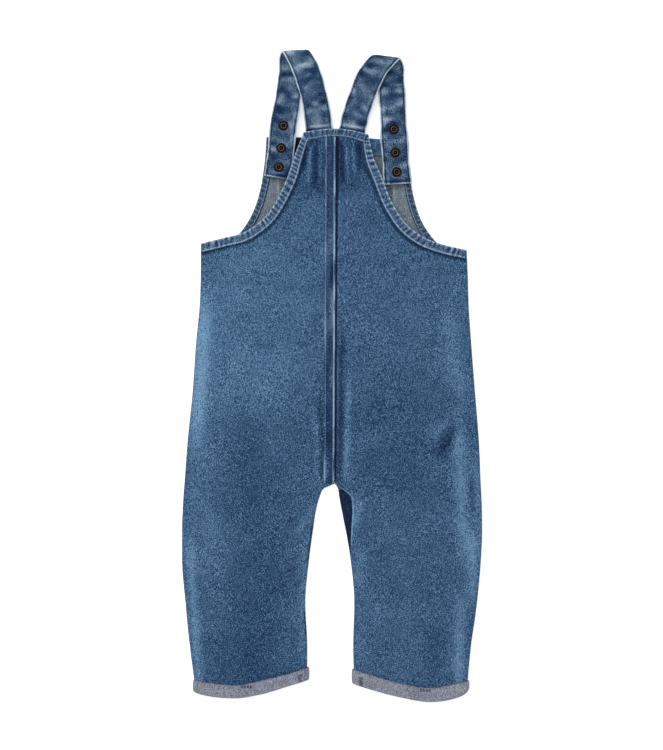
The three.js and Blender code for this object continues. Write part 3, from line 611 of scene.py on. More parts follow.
def back_relief(side, x, y):
    """Height of the back's creases, calm at its edges, the hem and the inner legs."""
    lift = np.maximum(ridges(CREASES, x, y) + pucker(x, y, 3), DEEPEST_TROUGH)
    lift += 0.22 * blurred_noise(x.shape, (26, 8), SEEDS[side]["creases"])
    inner_calm = np.clip((CROTCH - y) / 10, 0, 1)
    ramp = np.ones(x.shape)
    ramp[:, -ROLL_COLUMNS:] = np.linspace(1, 0, ROLL_COLUMNS)[None, :]
    lift = lift * (ramp * inner_calm + (1 - inner_calm))
    lift[:, :ROLL_COLUMNS] *= np.linspace(0, 1, ROLL_COLUMNS)[None, :]
    lift[:HEM_ROWS] *= np.linspace(0, 1, HEM_ROWS)[:, None]
    return lift


def panel_wear_and_painted_light(side, is_back, x, y):
    """Where a panel is worn pale or dark, and where shade and highlights are painted on it."""
    fade = ridges(WEAR_AND_SHADE_STREAKS, x, y) if is_back else 0 * x
    fade += 0.05 * blurred_noise(x.shape, (40, 10), SEEDS[side]["wear"])
    if is_back:
        # Painted shadow beside the armhole's band, and painted shade in the groove of the centre seam.
        hole = along(points_of(BACK_ARMHOLE[side]) * [1, 1, 0], 150)[:, :2]
        xy = np.stack([x, y], axis=2)[-FAN_ROWS:, :, None]
        away = np.sqrt(((xy - hole)**2).sum(axis=3)).min(axis=2)
        fade[-FAN_ROWS:] -= 0.55 * bell(away - BACK_BANDS["armhole"] - 1.0, 1.5)
        seam = np.clip((y - CROTCH) / 3, 0, 1)
        fade[:, -2:] -= 1.2 * seam[:, -2:]
        # The roll of the right leg has a painted highlight under the crotch; the left one has painted shade
        # in places, where its roll turns away from the light.
        if side == "right":
            worn = np.clip((CROTCH - y) / 4, 0, 1) * np.clip((y + 168) / 20, 0, 1)
            fade[:, -2:] += 0.75 * worn[:, -2:]
        for dark in ROLL_SHADE_EDGES[side]:
            span = np.clip(np.minimum(dark["y0"] - y, y - dark["y1"]) / 6, 0, 1)
            fade[:, -3:] -= dark["depth"] * span[:, -3:]
    else:
        # The cloth is paler just outside the bib's upright rows of stitches, and dark along them.
        beyond = np.abs(x - BIB_SEAM_MIDDLE) - BIB_SEAM_REACH
        high = np.clip((y - BIB_SEAM_FOOT) / 10, 0, 1)
        fade += high * (0.9 * bell(beyond - 2.2, 1.3) - 1.1 * bell(beyond, 0.8))
    if not is_back and side == "right":
        # Painted shade on the front's edge that rolls round onto the back beside the crotch, where it turns
        # away from the light.
        inside = np.clip((CROTCH + 4 - y) / 4, 0, 1) * np.clip((y + 205) / 20, 0, 1)
        fade[:, -ROLL_COLUMNS:] -= 0.95 * inside[:, -ROLL_COLUMNS:]
    return fade


def panel(side, is_back):
    """One half of the back or the front, from hem to shoulder edge."""
    outer, inner = fan_rows(side, is_back, *body_rows(side, is_back))
    x, y = outer[..., 0].copy(), outer[..., 1].copy()
    if is_back:
        lift = back_relief(side, x, y)
        outer[..., 2] += lift
        inner[..., 2] += lift
    name = f"{'back' if is_back else 'front'}_{side}"
    piece = shell(name + "_cloth", outer, inner, panel_wear_and_painted_light(side, is_back, x, y))
    wear(piece, BLUE, REVERSE)
    belongs(piece, "denim", name)
    return piece


PANELS = {}
for side in ("left", "right"):
    for is_back in (True, False):
        PANELS[side, is_back] = panel(side, is_back)


# ---- Things laid on the panels ----------------------------------------------------------
ABOVE = 40.0           # rays that seek the back start from here
EDGE_THICKNESS = 0.35  # of a strip, at its edges


class Ground:
    """The upper faces of some pieces, to lay other pieces on."""

    def __init__(self, *pieces):
        self.trees = []
        for piece in pieces:
            mesh = piece.data
            points = [v.co / MM for v in mesh.vertices]
            faces = [tuple(f.vertices) for f in mesh.polygons]
            self.trees.append(BVHTree.FromPolygons(points, faces))

    def height(self, x, y, start):
        """Height of the highest face below the start, or None."""
        best = None
        for tree in self.trees:
            hit = tree.ray_cast(Vector((x, y, start)), Vector((0, 0, -1)))[0]
            if hit is not None and (best is None or hit.z > best):
                best = hit.z
        return best

    def heights(self, xy, start=ABOVE):
        """Heights at a grid of places; a place off the edge takes its row's last height."""
        result = np.full(xy.shape[:2], np.nan)
        for i in range(xy.shape[0]):
            for j in range(xy.shape[1]):
                z = self.height(xy[i, j, 0], xy[i, j, 1], start)
                result[i, j] = np.nan if z is None else z
        for i in range(result.shape[0]):
            known = np.flatnonzero(~np.isnan(result[i]))
            if len(known):
                result[i] = np.interp(np.arange(result.shape[1]), known, result[i, known])
        for j in range(result.shape[1]):
            known = np.flatnonzero(~np.isnan(result[:, j]))
            result[:, j] = np.interp(np.arange(result.shape[0]), known, result[known, j])
        return result


def tangents(path):
    """The direction of a path at each of its points, seen from above."""
    step = np.gradient(path[:, :2], axis=0)
    return step / np.linalg.norm(step, axis=1, keepdims=True)


def strip_places(path, inward_of, widths, across):
    """XY of a strip's grid: rows along the path, columns from the path's edge inwards."""
    steps = np.asarray(across)[None, :, None] * np.asarray(widths)[:, None, None]
    return path[:, None, :2] + inward_of[:, None, :] * steps


def lay_strip(places, ground, relief, start=ABOVE, round_edge=0.8):
    """A strip of cloth that lies on the ground, with a rounded first edge."""
    z = ground.heights(places, start)
    from_edge = np.linalg.norm(places - places[:, :1], axis=2)
    rounded = np.sqrt(np.clip(1 - (1 - np.clip(from_edge / round_edge, 0, 1))**2, 0, 1))
    far = np.linalg.norm(places - places[:, -1:], axis=2)
    rounded = np.minimum(rounded, 0.45 + 0.55 * np.sqrt(np.clip(far / round_edge, 0, 1)))
    body = EDGE_THICKNESS + (TURNING - EDGE_THICKNESS) * rounded
    under = np.dstack([places, z + GAP])
    over = np.dstack([places, z + GAP + body + relief])
    return over, under


def roping(path, columns, seed, height=0.35, pitch=4.6):
    """The slanting ridges that washing leaves on a turned hem, and how worn each spot is."""
    length = np.r_[0, np.cumsum(np.linalg.norm(np.diff(path[:, :2], axis=0), axis=1))]
    wobble = np.cumsum(1 + 0.35 * blurred_noise((len(path), 4), (len(path) // 5, 2), seed)[:, 1])
    wobble = wobble / wobble[-1] * length[-1]
    across = np.linspace(0, 1, columns)
    phase = 2 * math.pi * (wobble[:, None] / pitch + 0.35 * across[None, :])
    power = 0.6 + 0.5 * blurred_noise((len(path), columns), (len(path) // 6, 3), seed + 1)
    wave = np.sin(phase) * np.clip(power, 0.1, 1.3) * np.sin(math.pi * (0.30 + 0.62 * across))[None, :]
    return height * wave, wave


STITCHES = {"pale": [], "tonal": [], "dark": []}     # lines of points in millimetres
# Where stitches run on a strip, as shares of its width from its first edge.
ARMHOLE_STITCH, TOP_STITCH, FACING_STITCH = 0.80, 0.86, 0.90
FELL_STITCHES = (0.13, 0.82)


def stitch_along(kind, grid, share, lift=0.05, skip=0):
    """Remembers a stitch line that runs along a strip's grid at a share of its width."""
    at = share * (grid.shape[1] - 1)
    j = int(at)
    t = at - j
    line = grid[:, j] * (1 - t) + grid[:, min(j + 1, grid.shape[1] - 1)] * t
    line = line[skip:len(line) - skip] if skip else line
    STITCHES[kind].append(line + np.array([0, 0, lift]))


BACK_GROUND = Ground(PANELS["left", True], PANELS["right", True])
FRONT_GROUND = Ground(PANELS["left", False], PANELS["right", False])
INSIDE = 4.0           # rays that seek the front start from here, under the back
ACROSS = np.r_[0, 0.03, 0.08, np.linspace(0.15, 0.95, 17), 1.0]


def declare(width, length):
    """Turns a piece's sides from millimetres into metres, and keeps nothing of them."""
    width, length = max(width, 10.0) * MM, length * MM


def laid_piece(node, over, under, fade, cloth, width, length, slot="denim"):
    """Makes a strip that lies on other cloth into the piece for its node."""
    piece = shell(node + "_cloth", over, under, fade)
    wear(piece, cloth, cloth)
    belongs(piece, slot, node)
    declare(width, length)


def path_length(path):
    """The length of a line of points."""
    return float(np.linalg.norm(np.diff(path, axis=0), axis=1).sum())


def armhole_band(side, is_back):
    """The turned hem round one armhole: outside the back, inside the front."""
    inward = INWARD[side]
    holes = (BACK_ARMHOLE if is_back else FRONT_ARMHOLE)[side]
    path = along(points_of(holes), 210)
    if not is_back:
        path = path[14:]
    widths_of = BACK_BANDS if is_back else FRONT_FACINGS
    direction = tangents(path)
    inside = np.stack([direction[:, 1], -direction[:, 0]], axis=1) * inward
    inside = np.where((inside[:, 1:] > 0) & (np.abs(direction[:, :1]) > 0.5), -inside, inside)
    share = np.linspace(0, 1, len(path))
    widths = widths_of["armhole"] + (widths_of["corner"] - widths_of["armhole"]) * np.clip(
        (share - 0.75) / 0.25, 0, 1)
    places = strip_places(path, inside, widths, ACROSS)
    if side == "right":
        places = places[::-1]
        path = path[::-1]
    # The mitre: nothing passes the top band's edge at the corner.
    corner = holes[-1]
    top_line = corner["y"] - (widths_of["top"] * np.clip(
        (places[..., 0] - corner["x"]) * inward / max(widths_of["corner"] * 0.62, 1), 0, 1))
    places[..., 1] = np.minimum(places[..., 1], top_line - GAP * (places[..., 0] != corner["x"]))
    relief, wave = roping(path, len(ACROSS), SEEDS[side]["armhole"])
    relief = relief * (1.0 if is_back else 0.4)
    if is_back:
        over, under = lay_strip(places, BACK_GROUND, relief)
    else:
        over, under = lay_strip(places, FRONT_GROUND, relief, start=INSIDE)
    name = f"{'back_armhole_band' if is_back else 'front_armhole_facing'}_{side}"
    # Pale on the folded edge, on the ropes and along the stitches, with painted shadow at the inner edge.
    edge = bell(ACROSS, 0.13)[None, :]
    line = bell(ACROSS - 0.83, 0.07)[None, :]
    fade = 0.46 * wave + (0.90 + 0.50 * wave) * edge + 0.72 * line + 0.02
    fade -= 0.75 * bell(ACROSS[None, :] - 1.0, 0.07)
    if not is_back:
        fade = fade * 0.8 - 0.14
    laid_piece(name, over, under, fade, EDGE_BLUE if is_back else DARK_BLUE, widths_of["armhole"],
               path_length(path[:, :2]) + 2)
    stitch_along("pale", over, ARMHOLE_STITCH, skip=2)


def top_band():
    """The turned hem along the back's top edge, over the roots of the straps."""
    for side in ("left", "right"):
        inward = INWARD[side]
        outline = outline_of(side, True, (60, 40))[59:]
        count = len(outline)
        widths = np.full(count, BACK_BANDS["top"])
        inside = np.tile([0.0, -1.0], (count, 1))
        places = strip_places(outline, inside, widths, ACROSS)
        slant = BACK_BANDS["corner"] * 0.62
        start = outline[0, 0] + inward * slant * ACROSS
        end = outline[-1, 0]
        from_corner = outline[:, :1] - outline[0, 0]
        places[..., 0] = start + from_corner * (end - start) / (end - outline[0, 0])
        if side == "right":
            places = places[::-1]
            outline = outline[::-1]
        relief, wave = roping(outline, len(ACROSS), SEEDS[side]["top"], 0.2)
        over, under = lay_strip(places, BACK_GROUND, relief)
        edge = bell(ACROSS, 0.12)[None, :]
        line = bell(ACROSS - 0.88, 0.06)[None, :]
        fade = 0.42 * wave + 0.85 * edge + 0.45 * line - 0.06
        laid_piece(f"back_top_band_{side}", over, under, fade, EDGE_BLUE, BACK_BANDS["top"],
                   abs(outline[0, 0] - outline[-1, 0]) + 1)
        stitch_along("pale", over, TOP_STITCH, skip=1)


def seam_fell():
    """The felled centre seam: two stitched ridges with a flat between them."""
    y = np.linspace(CROTCH + 0.5, BACK_TOP - BACK_BANDS["top"] - 0.6, 190)
    left = seam_x(y) - FELL_WIDTH
    path = np.stack([left, y], axis=1)
    across = np.linspace(0, 1, 25)
    places = strip_places(path, np.tile([1.0, 0.0], (len(y), 1)), np.full(len(y), FELL_WIDTH), across)
    z = BACK_GROUND.heights(places)
    ridge = 0.55 * (bell(across - 0.08, 0.09) + bell(across - 0.88, 0.08))
    length = y - y[0]
    bead = 0.5 + 0.5 * np.sin(2 * math.pi * length / 3.4)[:, None]
    body = 0.55 + ridge[None, :] * (0.75 + 0.25 * bead) + 0.1 * blurred_noise(
        (len(y), len(across)), (60, 3), 5)
    rim = np.clip(np.minimum(across, 1 - across) / 0.05, 0.35, 1)[None, :]
    over = np.dstack([places, z + GAP + body * rim])
    under = np.dstack([places, z + GAP])
    left_line = bell(across - 0.08, 0.08)[None, :]
    right_line = bell(across - 0.90, 0.075)[None, :]
    # Both ridges are worn pale in patches, the right one most.
    patch = 0.8 + 0.4 * blurred_noise((len(y), 1 + len(across)), (44, 2), 8)[:, :len(across)]
    blotch = 0.25 * blurred_noise((len(y), len(across)), (30, 2), 9)
    fade = (0.55 * left_line + 1.30 * right_line) * np.clip(patch, 0.35, 1.2) + blotch - 0.34
    # Painted shadow along the fell's right edge, in the groove where it meets the right panel.
    fade -= 1.0 * bell(across - 1.0, 0.03)[None, :]
    laid_piece("back_seam_fell", over, under, fade, EDGE_BLUE, FELL_WIDTH, y[-1] - y[0])
    for share in FELL_STITCHES:
        stitch_along("pale", over, share)


def bib_facing():
    """The facing inside the bib's top edge."""
    left, right = FRONT_ARMHOLE["left"][-1], FRONT_ARMHOLE["right"][-1]
    x = np.linspace(left["x"], right["x"], 120)
    upper = np.r_[outline_of("left", False, (60, 60))[59:], outline_of("right", False, (60, 60))[59:][::-1]]
    order = np.argsort(upper[:, 0])
    top = np.interp(x, upper[order, 0], upper[order, 1])
    width = FRONT_FACINGS["top"]
    places = np.stack([np.tile(x[:, None], (1, 14)), top[:, None] - width * np.linspace(0, 1, 14)], axis=2)
    slant = FRONT_FACINGS["corner"] * np.linspace(0, 1, 14)
    middle = (x[0] + x[-1]) / 2
    half = (x[-1] - x[0]) / 2
    places[..., 0] = middle + (x[:, None] - middle) * (half - slant[None, :]) / half
    over, under = lay_strip(places, FRONT_GROUND, 0 * places[..., 0], start=INSIDE + 0.2)
    fade = 0.12 * blurred_noise(over.shape[:2], (30, 4), 71) + 0.08
    fade[:, 0] += 0.35
    fade[:, -1] += 0.45
    laid_piece("bib_facing", over, under, fade, BLUE, width, x[-1] - x[0])
    stitch_along("pale", over, FACING_STITCH)


def bib_seams():
    """Two upright stitch lines that show inside the bib, from the facing down."""
    for x in (BIB_SEAM_MIDDLE - BIB_SEAM_REACH, BIB_SEAM_MIDDLE + BIB_SEAM_REACH):
        y = np.linspace(FRONT_MIDDLE["y"] - FRONT_FACINGS["top"] - 1, BIB_SEAM_FOOT, 60)
        places = np.stack([np.full((1, len(y)), x), y[None, :]], axis=2)
        z = FRONT_GROUND.heights(places, start=INSIDE)
        STITCHES["pale"].append(np.dstack([places, z + 0.15])[0])


def bib_label():
    """The plain label sewn on the facing, with a ring of stitches."""
    low, high = (np.array(c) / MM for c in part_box("bib_label"))
    x = np.linspace(low[0], high[0], 40)
    y = np.linspace(high[1], low[1], 12)
    places = np.stack(np.meshgrid(x, y, indexing="ij"), axis=2)
    under = np.dstack([places, np.full(places.shape[:2], low[2] + 0.05)])
    over = np.dstack([places, np.full(places.shape[:2], low[2] + 0.55)])
    over[..., 2] += 0.05 * blurred_noise(places.shape[:2], (8, 4), 77)
    laid_piece("bib_label", over, under, 0 * over[..., 0], BLACK_CLOTH, high[1] - low[1],
               high[0] - low[0], slot="label_cloth")
    ring = np.vstack([over[1:-1, 1], over[-2, 1:-1], over[1:-1, -2][::-1], over[1, 1:-1][::-1]])
    STITCHES["dark"].append(ring + np.array([0, 0, 0.05]))


# ---- Straps and their snaps -------------------------------------------------------------
STRAP_STEPS = 260
ROOT_COVER = 5.0       # how far a strap's root goes under the back's top edge
STRAP_STITCH = 0.80    # where its stitches run, as a share of half its width


def strap_frames(side):
    """Middle, direction across, normal and way along of each step of a strap's cloth."""
    rows = STRAPS[side]
    middle = points_of(rows)
    step = np.linalg.norm(np.diff(middle, axis=0), axis=1)
    length = np.r_[0, np.cumsum(step)]
    at = np.linspace(0, length[-1], STRAP_STEPS)
    place = np.stack([smooth(length, middle[:, k], at) for k in range(3)], axis=1)
    turn = np.radians(smooth(length, column(rows, "turn"), at))
    tip = np.radians(smooth(length, column(rows, "tip"), at))
    across = np.stack([np.cos(turn), np.sin(turn), 0 * turn], axis=1)
    ahead = np.stack([-np.sin(turn), np.cos(turn), 0 * turn], axis=1)
    normal = ahead * np.sin(tip)[:, None]
    normal[:, 2] += np.cos(tip)
    return place, across, normal, at


def strap(side):
    """Four layers of denim, topstitched near both edges and mottled by washing."""
    place, across, normal, at = strap_frames(side)
    ring = np.linspace(0, 2 * math.pi, 60, endpoint=False)
    power = 0.34
    u = np.sign(np.cos(ring)) * np.abs(np.cos(ring))**power
    w = np.sign(np.sin(ring)) * np.abs(np.sin(ring))**0.6
    seed = SEEDS[side]["strap"]
    bumps = blurred_noise((STRAP_STEPS, 60), (26, 5), seed)
    groove = -0.22 * bell(np.abs(u) - STRAP_STITCH, 0.06)
    body = STRAP_THICKNESS / 2 * w[None, :] * (1 + 0.10 * bumps) + np.sign(w) * groove[None, :]
    body = np.clip(body, -STRAP_THICKNESS / 2 - 0.1, STRAP_THICKNESS / 2 + 0.1)
    edge_wave = 0.35 * blurred_noise((STRAP_STEPS, 4), (34, 1), seed + 2)[:, 1]
    half = STRAP_WIDTH / 2 + edge_wave[:, None] * np.abs(u)[None, :]**4
    rings = (place[:, None, :] + across[:, None, :] * (u[None, :] * half)[..., None]
             + normal[:, None, :] * body[..., None])
    patches = blurred_noise((STRAP_STEPS, 41), (60, 5), seed + 3)
    spot = (u + 1) / 2 * 40
    mottle = np.stack([np.interp(spot, np.arange(41), row) for row in patches])
    # Pale edges with a dark line inside them, then painted shadow on the root where the strap comes
    # out from under the top band, and the worn fold at the end.
    start = at[:, None]
    fade = 0.40 * mottle - 0.18
    fade += 1.9 * bell(1 - np.abs(u), 0.08)[None, :]
    fade -= 0.9 * bell(np.abs(u) - 0.84, 0.05)[None, :]
    fade -= 1.1 * bell(start - ROOT_COVER, 1.1)
    fade += 0.7 * bell(start - ROOT_COVER - 3.6, 1.2)
    end = at[-1] - start
    fade += 1.3 * bell(end, 0.9) - 0.7 * bell(end - 2.4, 1.2)
    uv = np.stack(np.broadcast_arrays(u[None, :] * STRAP_WIDTH / 2 * MM, at[:, None] * MM), axis=2)
    piece = tube(f"strap_{side}_cloth", rings, fade, uv)
    wear(piece, STRAP_BLUE)
    belongs(piece, "denim", f"strap_{side}")
    for sign in (-1, 1):
        for face in (-1, 1):
            line = place + across * (sign * STRAP_STITCH * STRAP_WIDTH / 2) + normal * (
                face * (STRAP_THICKNESS / 2 - 0.12))
            STITCHES["tonal"].append(line[3:-3])


def tube(name, rings, fade, uv):
    """A closed solid through rings of points in millimetres, with flat ends; uv is in metres."""
    rows, count = rings.shape[:2]
    index = np.arange(rows * count).reshape(rows, count)
    index = np.concatenate([index, index[:, :1]], axis=1)
    faces = np.stack([index[:-1, :-1], index[:-1, 1:], index[1:, 1:], index[1:, :-1]], axis=-1)
    faces = faces.reshape(-1, 4).tolist()
    faces += [index[0, :-1][::-1].tolist(), index[-1, :-1].tolist()]
    mesh = bpy.data.meshes.new(name)
    mesh.from_pydata((rings.reshape(-1, 3) * MM).tolist(), [], faces)
    mesh.polygons.foreach_set("use_smooth", np.ones(len(faces), bool))
    layer = mesh.attributes.new("fade", "FLOAT", "POINT")
    layer.data.foreach_set("value", fade.astype(np.float32).ravel())
    loops = np.empty(len(mesh.loops), np.int32)
    mesh.loops.foreach_get("vertex_index", loops)
    flat = uv.reshape(-1, 2)[loops].astype(np.float32)
    mesh.uv_layers.new(name="UVMap").data.foreach_set("uv", flat.ravel())
    mesh.update()
    work = bmesh.new()
    work.from_mesh(mesh)
    if work.calc_volume(signed=True) < 0:
        bmesh.ops.reverse_faces(work, faces=work.faces)
    work.to_mesh(mesh)
    work.free()
    return link_piece(name, mesh)


# A snap's parts, by radius and height above the strap's middle: a domed ring, the worn eyelet
# in it, the post in its centre, a near-black disc that is painted shade in the hollow round the
# post, and the stud underneath.
SNAP_RING = table("r h",
    (1.75, 1.0), (3.6, 1.0), (4.45, 1.15), (4.65, 1.5), (4.55, 1.85), (4.25, 2.1), (3.8, 2.25),
    (3.3, 2.28), (2.95, 2.1), (2.8, 1.7), (2.1, 1.45), (1.75, 1.3))
SNAP_EYELET = table("r h",
    (2.0, 1.40), (2.6, 1.62), (2.68, 1.80), (2.5, 1.98), (2.25, 2.02), (2.05, 1.9), (1.95, 1.65))
SNAP_POST = table("r h", (0.0, 1.0), (0.5, 1.0), (0.48, 1.55), (0.3, 1.7), (0.0, 1.75))
SNAP_CUP = table("r h", (0.0, 0.9), (1.9, 0.9), (1.9, 1.32), (0.0, 1.32))
SNAP_STUD = table("r h",
    (0.0, -3.1), (1.6, -3.1), (1.9, -2.8), (1.7, -2.1), (3.8, -2.0), (4.05, -1.7), (3.8, -1.4),
    (0.0, -1.4))
SNAP_SIDES = 48


def turned(name, profile, place):
    """A ring or a solid turned about an upright axis through the place."""
    r, h = column(profile, "r"), column(profile, "h")
    angle = np.linspace(0, 2 * math.pi, SNAP_SIDES, endpoint=False)
    grid = np.stack([r[:, None] * np.cos(angle), r[:, None] * np.sin(angle),
                     np.repeat(h[:, None], SNAP_SIDES, axis=1)], axis=2) + place
    rows = len(profile)
    index = np.arange(rows * SNAP_SIDES).reshape(rows, SNAP_SIDES)
    index = np.concatenate([index, index[:, :1]], axis=1)
    index = np.concatenate([index, index[:1]], axis=0)
    faces = np.stack([index[:-1, :-1], index[:-1, 1:], index[1:, 1:], index[1:, :-1]], axis=-1)
    mesh = bpy.data.meshes.new(name)
    mesh.from_pydata((grid.reshape(-1, 3) * MM).tolist(), [], faces.reshape(-1, 4).tolist())
    work = bmesh.new()
    work.from_mesh(mesh)
    bmesh.ops.remove_doubles(work, verts=work.verts, dist=1e-7)
    bmesh.ops.recalc_face_normals(work, faces=work.faces)
    work.to_mesh(mesh)
    work.free()
    mesh.polygons.foreach_set("use_smooth", np.ones(len(mesh.polygons), bool))
    return link_piece(name, mesh)


def snaps(side):
    """The snaps of one strap, and the metal of the one in the bib."""
    for n, station in enumerate(SNAP_STATIONS, 1):
        row = STRAPS[side][station]
        place = np.array([row["x"], row["y"], row["z"]])
        node = f"snap_{side}_{n}"
        for part, profile, material in (("ring", SNAP_RING, DARK_METAL), ("eyelet", SNAP_EYELET, BRASS),
                                        ("post", SNAP_POST, BRASS), ("cup", SNAP_CUP, HOLLOW_SHADE_METAL),
                                        ("stud", SNAP_STUD, DARK_METAL)):
            piece = turned(f"{node}_{part}", profile, place)
            wear(piece, material)
            belongs(piece, "snap_metal", *([node] if part == "ring" else []))
    node = frame["nodes"][f"bib_snap_{side}"]
    node.data.materials.clear()
    node.data.materials.append(DARK_METAL)


# ---- Rolled hems ------------------------------------------------------------------------
TACK_SHARE = {"left": 0.46, "right": 0.376}   # where the bar tack is, across the leg
TACK_ROWS = 5
TACK_HALF = 4.0
TACK_STEP = 0.45


def cuff(side):
    """The turn-up of one leg: two layers all round, with a bar tack that holds it."""
    inward = INWARD[side]
    start, end = CUFF_ENDS[side]
    top = BODY_TOP + 2 * TUCK
    radius = top / 2
    edges = CUFFS[side]
    flat, bend = 60, 12
    u = np.linspace(start + inward * radius, end - inward * radius, flat)
    quarter = radius * math.pi / 2
    reach = np.linspace(quarter, -quarter, bend)
    rows = np.linspace(0, 1, 12)
    ruffle = blurred_noise((len(rows), 2 * (flat + bend)), (3, 30), SEEDS[side]["ruffle"])

    def loop(depth, row):
        x_end, z_end = rolled(end, -inward, radius, radius, reach, depth)
        x_start, z_start = rolled(start, inward, radius, radius, -reach, depth)
        x = np.r_[u, x_end, u[::-1], x_start]
        z = np.r_[np.full(flat, top - depth), z_end, np.full(flat, depth), z_start]
        share = np.clip((x - start) / (end - start), 0, 1)
        upper = smooth(column(edges, "share"), column(edges, "upper"), share)
        lower = smooth(column(edges, "share"), column(edges, "lower"), share)
        return np.stack([x, upper + (lower - upper) * row, z], axis=1)

    outer, inner = [], []
    for i, row in enumerate(rows):
        puff = 0.55 * math.sin(math.pi * min(max(row, 0.02), 0.98))
        thin = 0.5 * (abs(2 * row - 1))**6
        level = loop(thin - puff * 0.4, row)
        bump = 0.22 * ruffle[i]
        up = np.zeros(len(level))
        up[:flat] = 1
        level[:, 2] += bump * up * math.sin(math.pi * row)
        level[:, 2] = np.maximum(level[:, 2], 0)
        outer.append(level)
        inner.append(loop(CUFF_WALL - thin * 0.6, row))
    outer, inner = np.array(outer), np.array(inner)
    fade = 0.10 * blurred_noise(outer.shape[:2], (3, 24), SEEDS[side]["cuff"])
    # Painted shadow along the cuff's upper edge, and paler along its lower fold.
    fade += 0.15 * bell(1 - rows, 0.10)[:, None] - 0.55 * bell(rows, 0.06)[:, None]
    # Painted shade in a short upright line where the top of the cuff rolls under at its inner end.
    fade[4:, flat - 4:flat - 2] -= 0.8
    fade += 0.06
    piece = shell(f"cuff_{side}_cloth", outer, inner, fade, closed=True)
    wear(piece, CUFF_GREY, CUFF_GREY)
    belongs(piece, "denim_reverse", f"cuff_{side}")
    share = TACK_SHARE[side]
    middle = start + (end - start) * share
    level = smooth(column(edges, "share"), column(edges, "upper"), np.array([share]))[0]
    for k in range(TACK_ROWS):
        y = level - 1.2 - TACK_STEP * k
        STITCHES["dark"].append(np.array([[middle - TACK_HALF, y, top + 0.25],
                                          [middle + TACK_HALF, y - 0.4, top + 0.25]]))


# ---- Stitches ---------------------------------------------------------------------------
STITCH_PITCH = 2.6
STITCH_LENGTH = 2.0
STITCH_WIDTH = 0.5


def stitch_tree(material):
    """Nodes that set one small capsule on each step of a curve, turned along it."""
    tree = bpy.data.node_groups.new("stitching", "GeometryNodeTree")
    tree.interface.new_socket("Geometry", in_out="INPUT", socket_type="NodeSocketGeometry")
    for name, value in (("Pitch", STITCH_PITCH), ("Length", STITCH_LENGTH), ("Width", STITCH_WIDTH)):
        socket = tree.interface.new_socket(name, in_out="INPUT", socket_type="NodeSocketFloat")
        socket.default_value = value * MM
    tree.interface.new_socket("Geometry", in_out="OUTPUT", socket_type="NodeSocketGeometry")
    given = add_node(tree, "NodeGroupInput").outputs
    steps = add_node(tree, "GeometryNodeResampleCurve",
                     {"Curve": given["Geometry"], "Length": given["Pitch"]}, mode="LENGTH")
    bead = add_node(tree, "GeometryNodeMeshUVSphere", {"Segments": 6, "Rings": 4, "Radius": 0.5})
    size = add_node(tree, "ShaderNodeCombineXYZ", {"X": given["Width"], "Y": given["Width"],
                                                   "Z": given["Length"]})
    tangent = add_node(tree, "GeometryNodeInputTangent")
    turn = add_node(tree, "FunctionNodeAlignRotationToVector", {"Vector": tangent.outputs["Tangent"]},
                    axis="Z")
    place = add_node(tree, "GeometryNodeInstanceOnPoints", {
        "Points": steps.outputs["Curve"], "Instance": bead.outputs["Mesh"],
        "Rotation": turn.outputs["Rotation"], "Scale": size.outputs["Vector"]})
    real = add_node(tree, "GeometryNodeRealizeInstances", {"Geometry": place.outputs["Instances"]})
    paint = add_node(tree, "GeometryNodeSetMaterial", {"Geometry": real.outputs["Geometry"],
                                                       "Material": material})
    add_node(tree, "NodeGroupOutput", {"Geometry": paint.outputs["Geometry"]})
    return tree


def sew(name, lines, material):
    """Turns remembered lines into one mesh of stitches."""
    curve = bpy.data.curves.new(name, "CURVE")
    curve.dimensions = "3D"
    for line in lines:
        spline = curve.splines.new("POLY")
        spline.points.add(len(line) - 1)
        spline.points.foreach_set("co", np.c_[line * MM, np.ones(len(line))].astype(np.float32).ravel())
    guide = link_piece(name + "_guide", curve)
    tool = guide.modifiers.new("stitching", "NODES")
    tool.node_group = stitch_tree(material)
    bpy.context.view_layer.update()
    made = bpy.data.meshes.new_from_object(guide.evaluated_get(bpy.context.evaluated_depsgraph_get()))
    guide.modifiers.clear()
    bpy.data.objects.remove(guide)
    made.name = name
    made.polygons.foreach_set("use_smooth", np.ones(len(made.polygons), bool))
    piece = link_piece(name, made)
    if not made.materials:
        made.materials.append(material)
    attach(piece, "root")


for side in ("left", "right"):
    armhole_band(side, True)
    armhole_band(side, False)
    strap(side)
    snaps(side)
    cuff(side)
top_band()
seam_fell()
bib_facing()
bib_label()
bib_seams()
sew("pale_stitches", STITCHES["pale"], PALE_THREAD)
sew("tonal_stitches", STITCHES["tonal"], TONAL_THREAD)
sew("dark_stitches", STITCHES["dark"], DARK_THREAD)


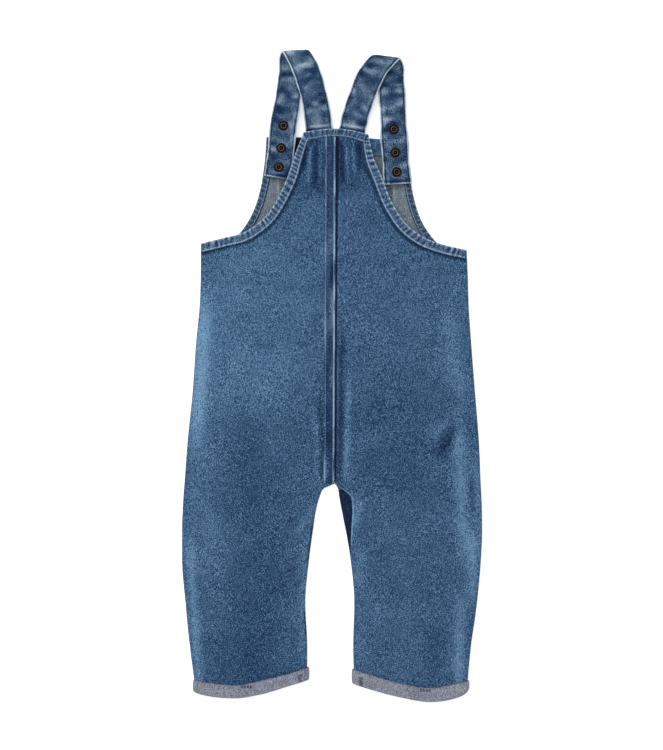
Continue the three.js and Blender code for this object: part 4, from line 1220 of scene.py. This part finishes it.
# ---- Light, floor and camera ------------------------------------------------------------
FLOOR_SIZE = 6.0
FLOOR_GLOW = 0.6          # so that the floor looks white to the camera
WORLD_STRENGTH = 0.62
LAMP_PLACE, LAMP_SIZE, LAMP_POWER = (-0.9, 1.1, 1.9), 1.4, 26
FRAME_HEIGHT = 0.690      # height of the floor that the camera sees
LENS = 100.0
SENSOR = 36.0


def floor():
    """A pale floor that takes shadows."""
    bpy.ops.mesh.primitive_plane_add(size=FLOOR_SIZE, location=(0, 0, -0.0002))
    ground = bpy.context.object
    ground.name = "floor"
    n = Nodes("pale floor")
    rays = n.add("ShaderNodeLightPath")
    seen = n.math("ADD", rays.outputs["Is Camera Ray"], rays.outputs["Is Glossy Ray"], clamp=True)
    diffuse = n.add("ShaderNodeBsdfDiffuse", {"Color": (0.9, 0.9, 0.9, 1)})
    shine = n.math("MULTIPLY", seen, FLOOR_GLOW)
    glow = n.add("ShaderNodeEmission", {"Color": (1, 1, 1, 1), "Strength": shine})
    both = n.add("ShaderNodeAddShader", {0: diffuse.outputs[0], 1: glow.outputs[0]})
    ground.data.materials.append(n.finish(both.outputs[0]))


def lamp(name, place, size, power):
    """A square soft lamp that points at the origin."""
    data = bpy.data.lights.new(name, "AREA")
    data.size = size
    data.energy = power
    light = link_piece(name, data)
    light.location = place
    light.rotation_euler = (-Vector(place)).to_track_quat("-Z", "Y").to_euler()


def world():
    """Even white light from all round."""
    background = bpy.data.worlds.new("studio")
    background.use_nodes = True
    tree = background.node_tree
    tree.nodes["Background"].inputs["Color"].default_value = (1, 1, 1, 1)
    tree.nodes["Background"].inputs["Strength"].default_value = WORLD_STRENGTH
    bpy.context.scene.world = background


def camera():
    """Straight above, looking down, with the shoulders at the top of the picture."""
    data = bpy.data.cameras.new("camera")
    data.lens = LENS
    data.sensor_width = SENSOR
    eye = link_piece("camera", data)
    eye.location = (-0.0005, 0.0004, FRAME_HEIGHT * LENS / SENSOR + 0.004)
    bpy.context.scene.camera = eye


floor()
world()
lamp("soft lamp", LAMP_PLACE, LAMP_SIZE, LAMP_POWER)
camera()
bpy.context.scene.view_settings.view_transform = "Standard"
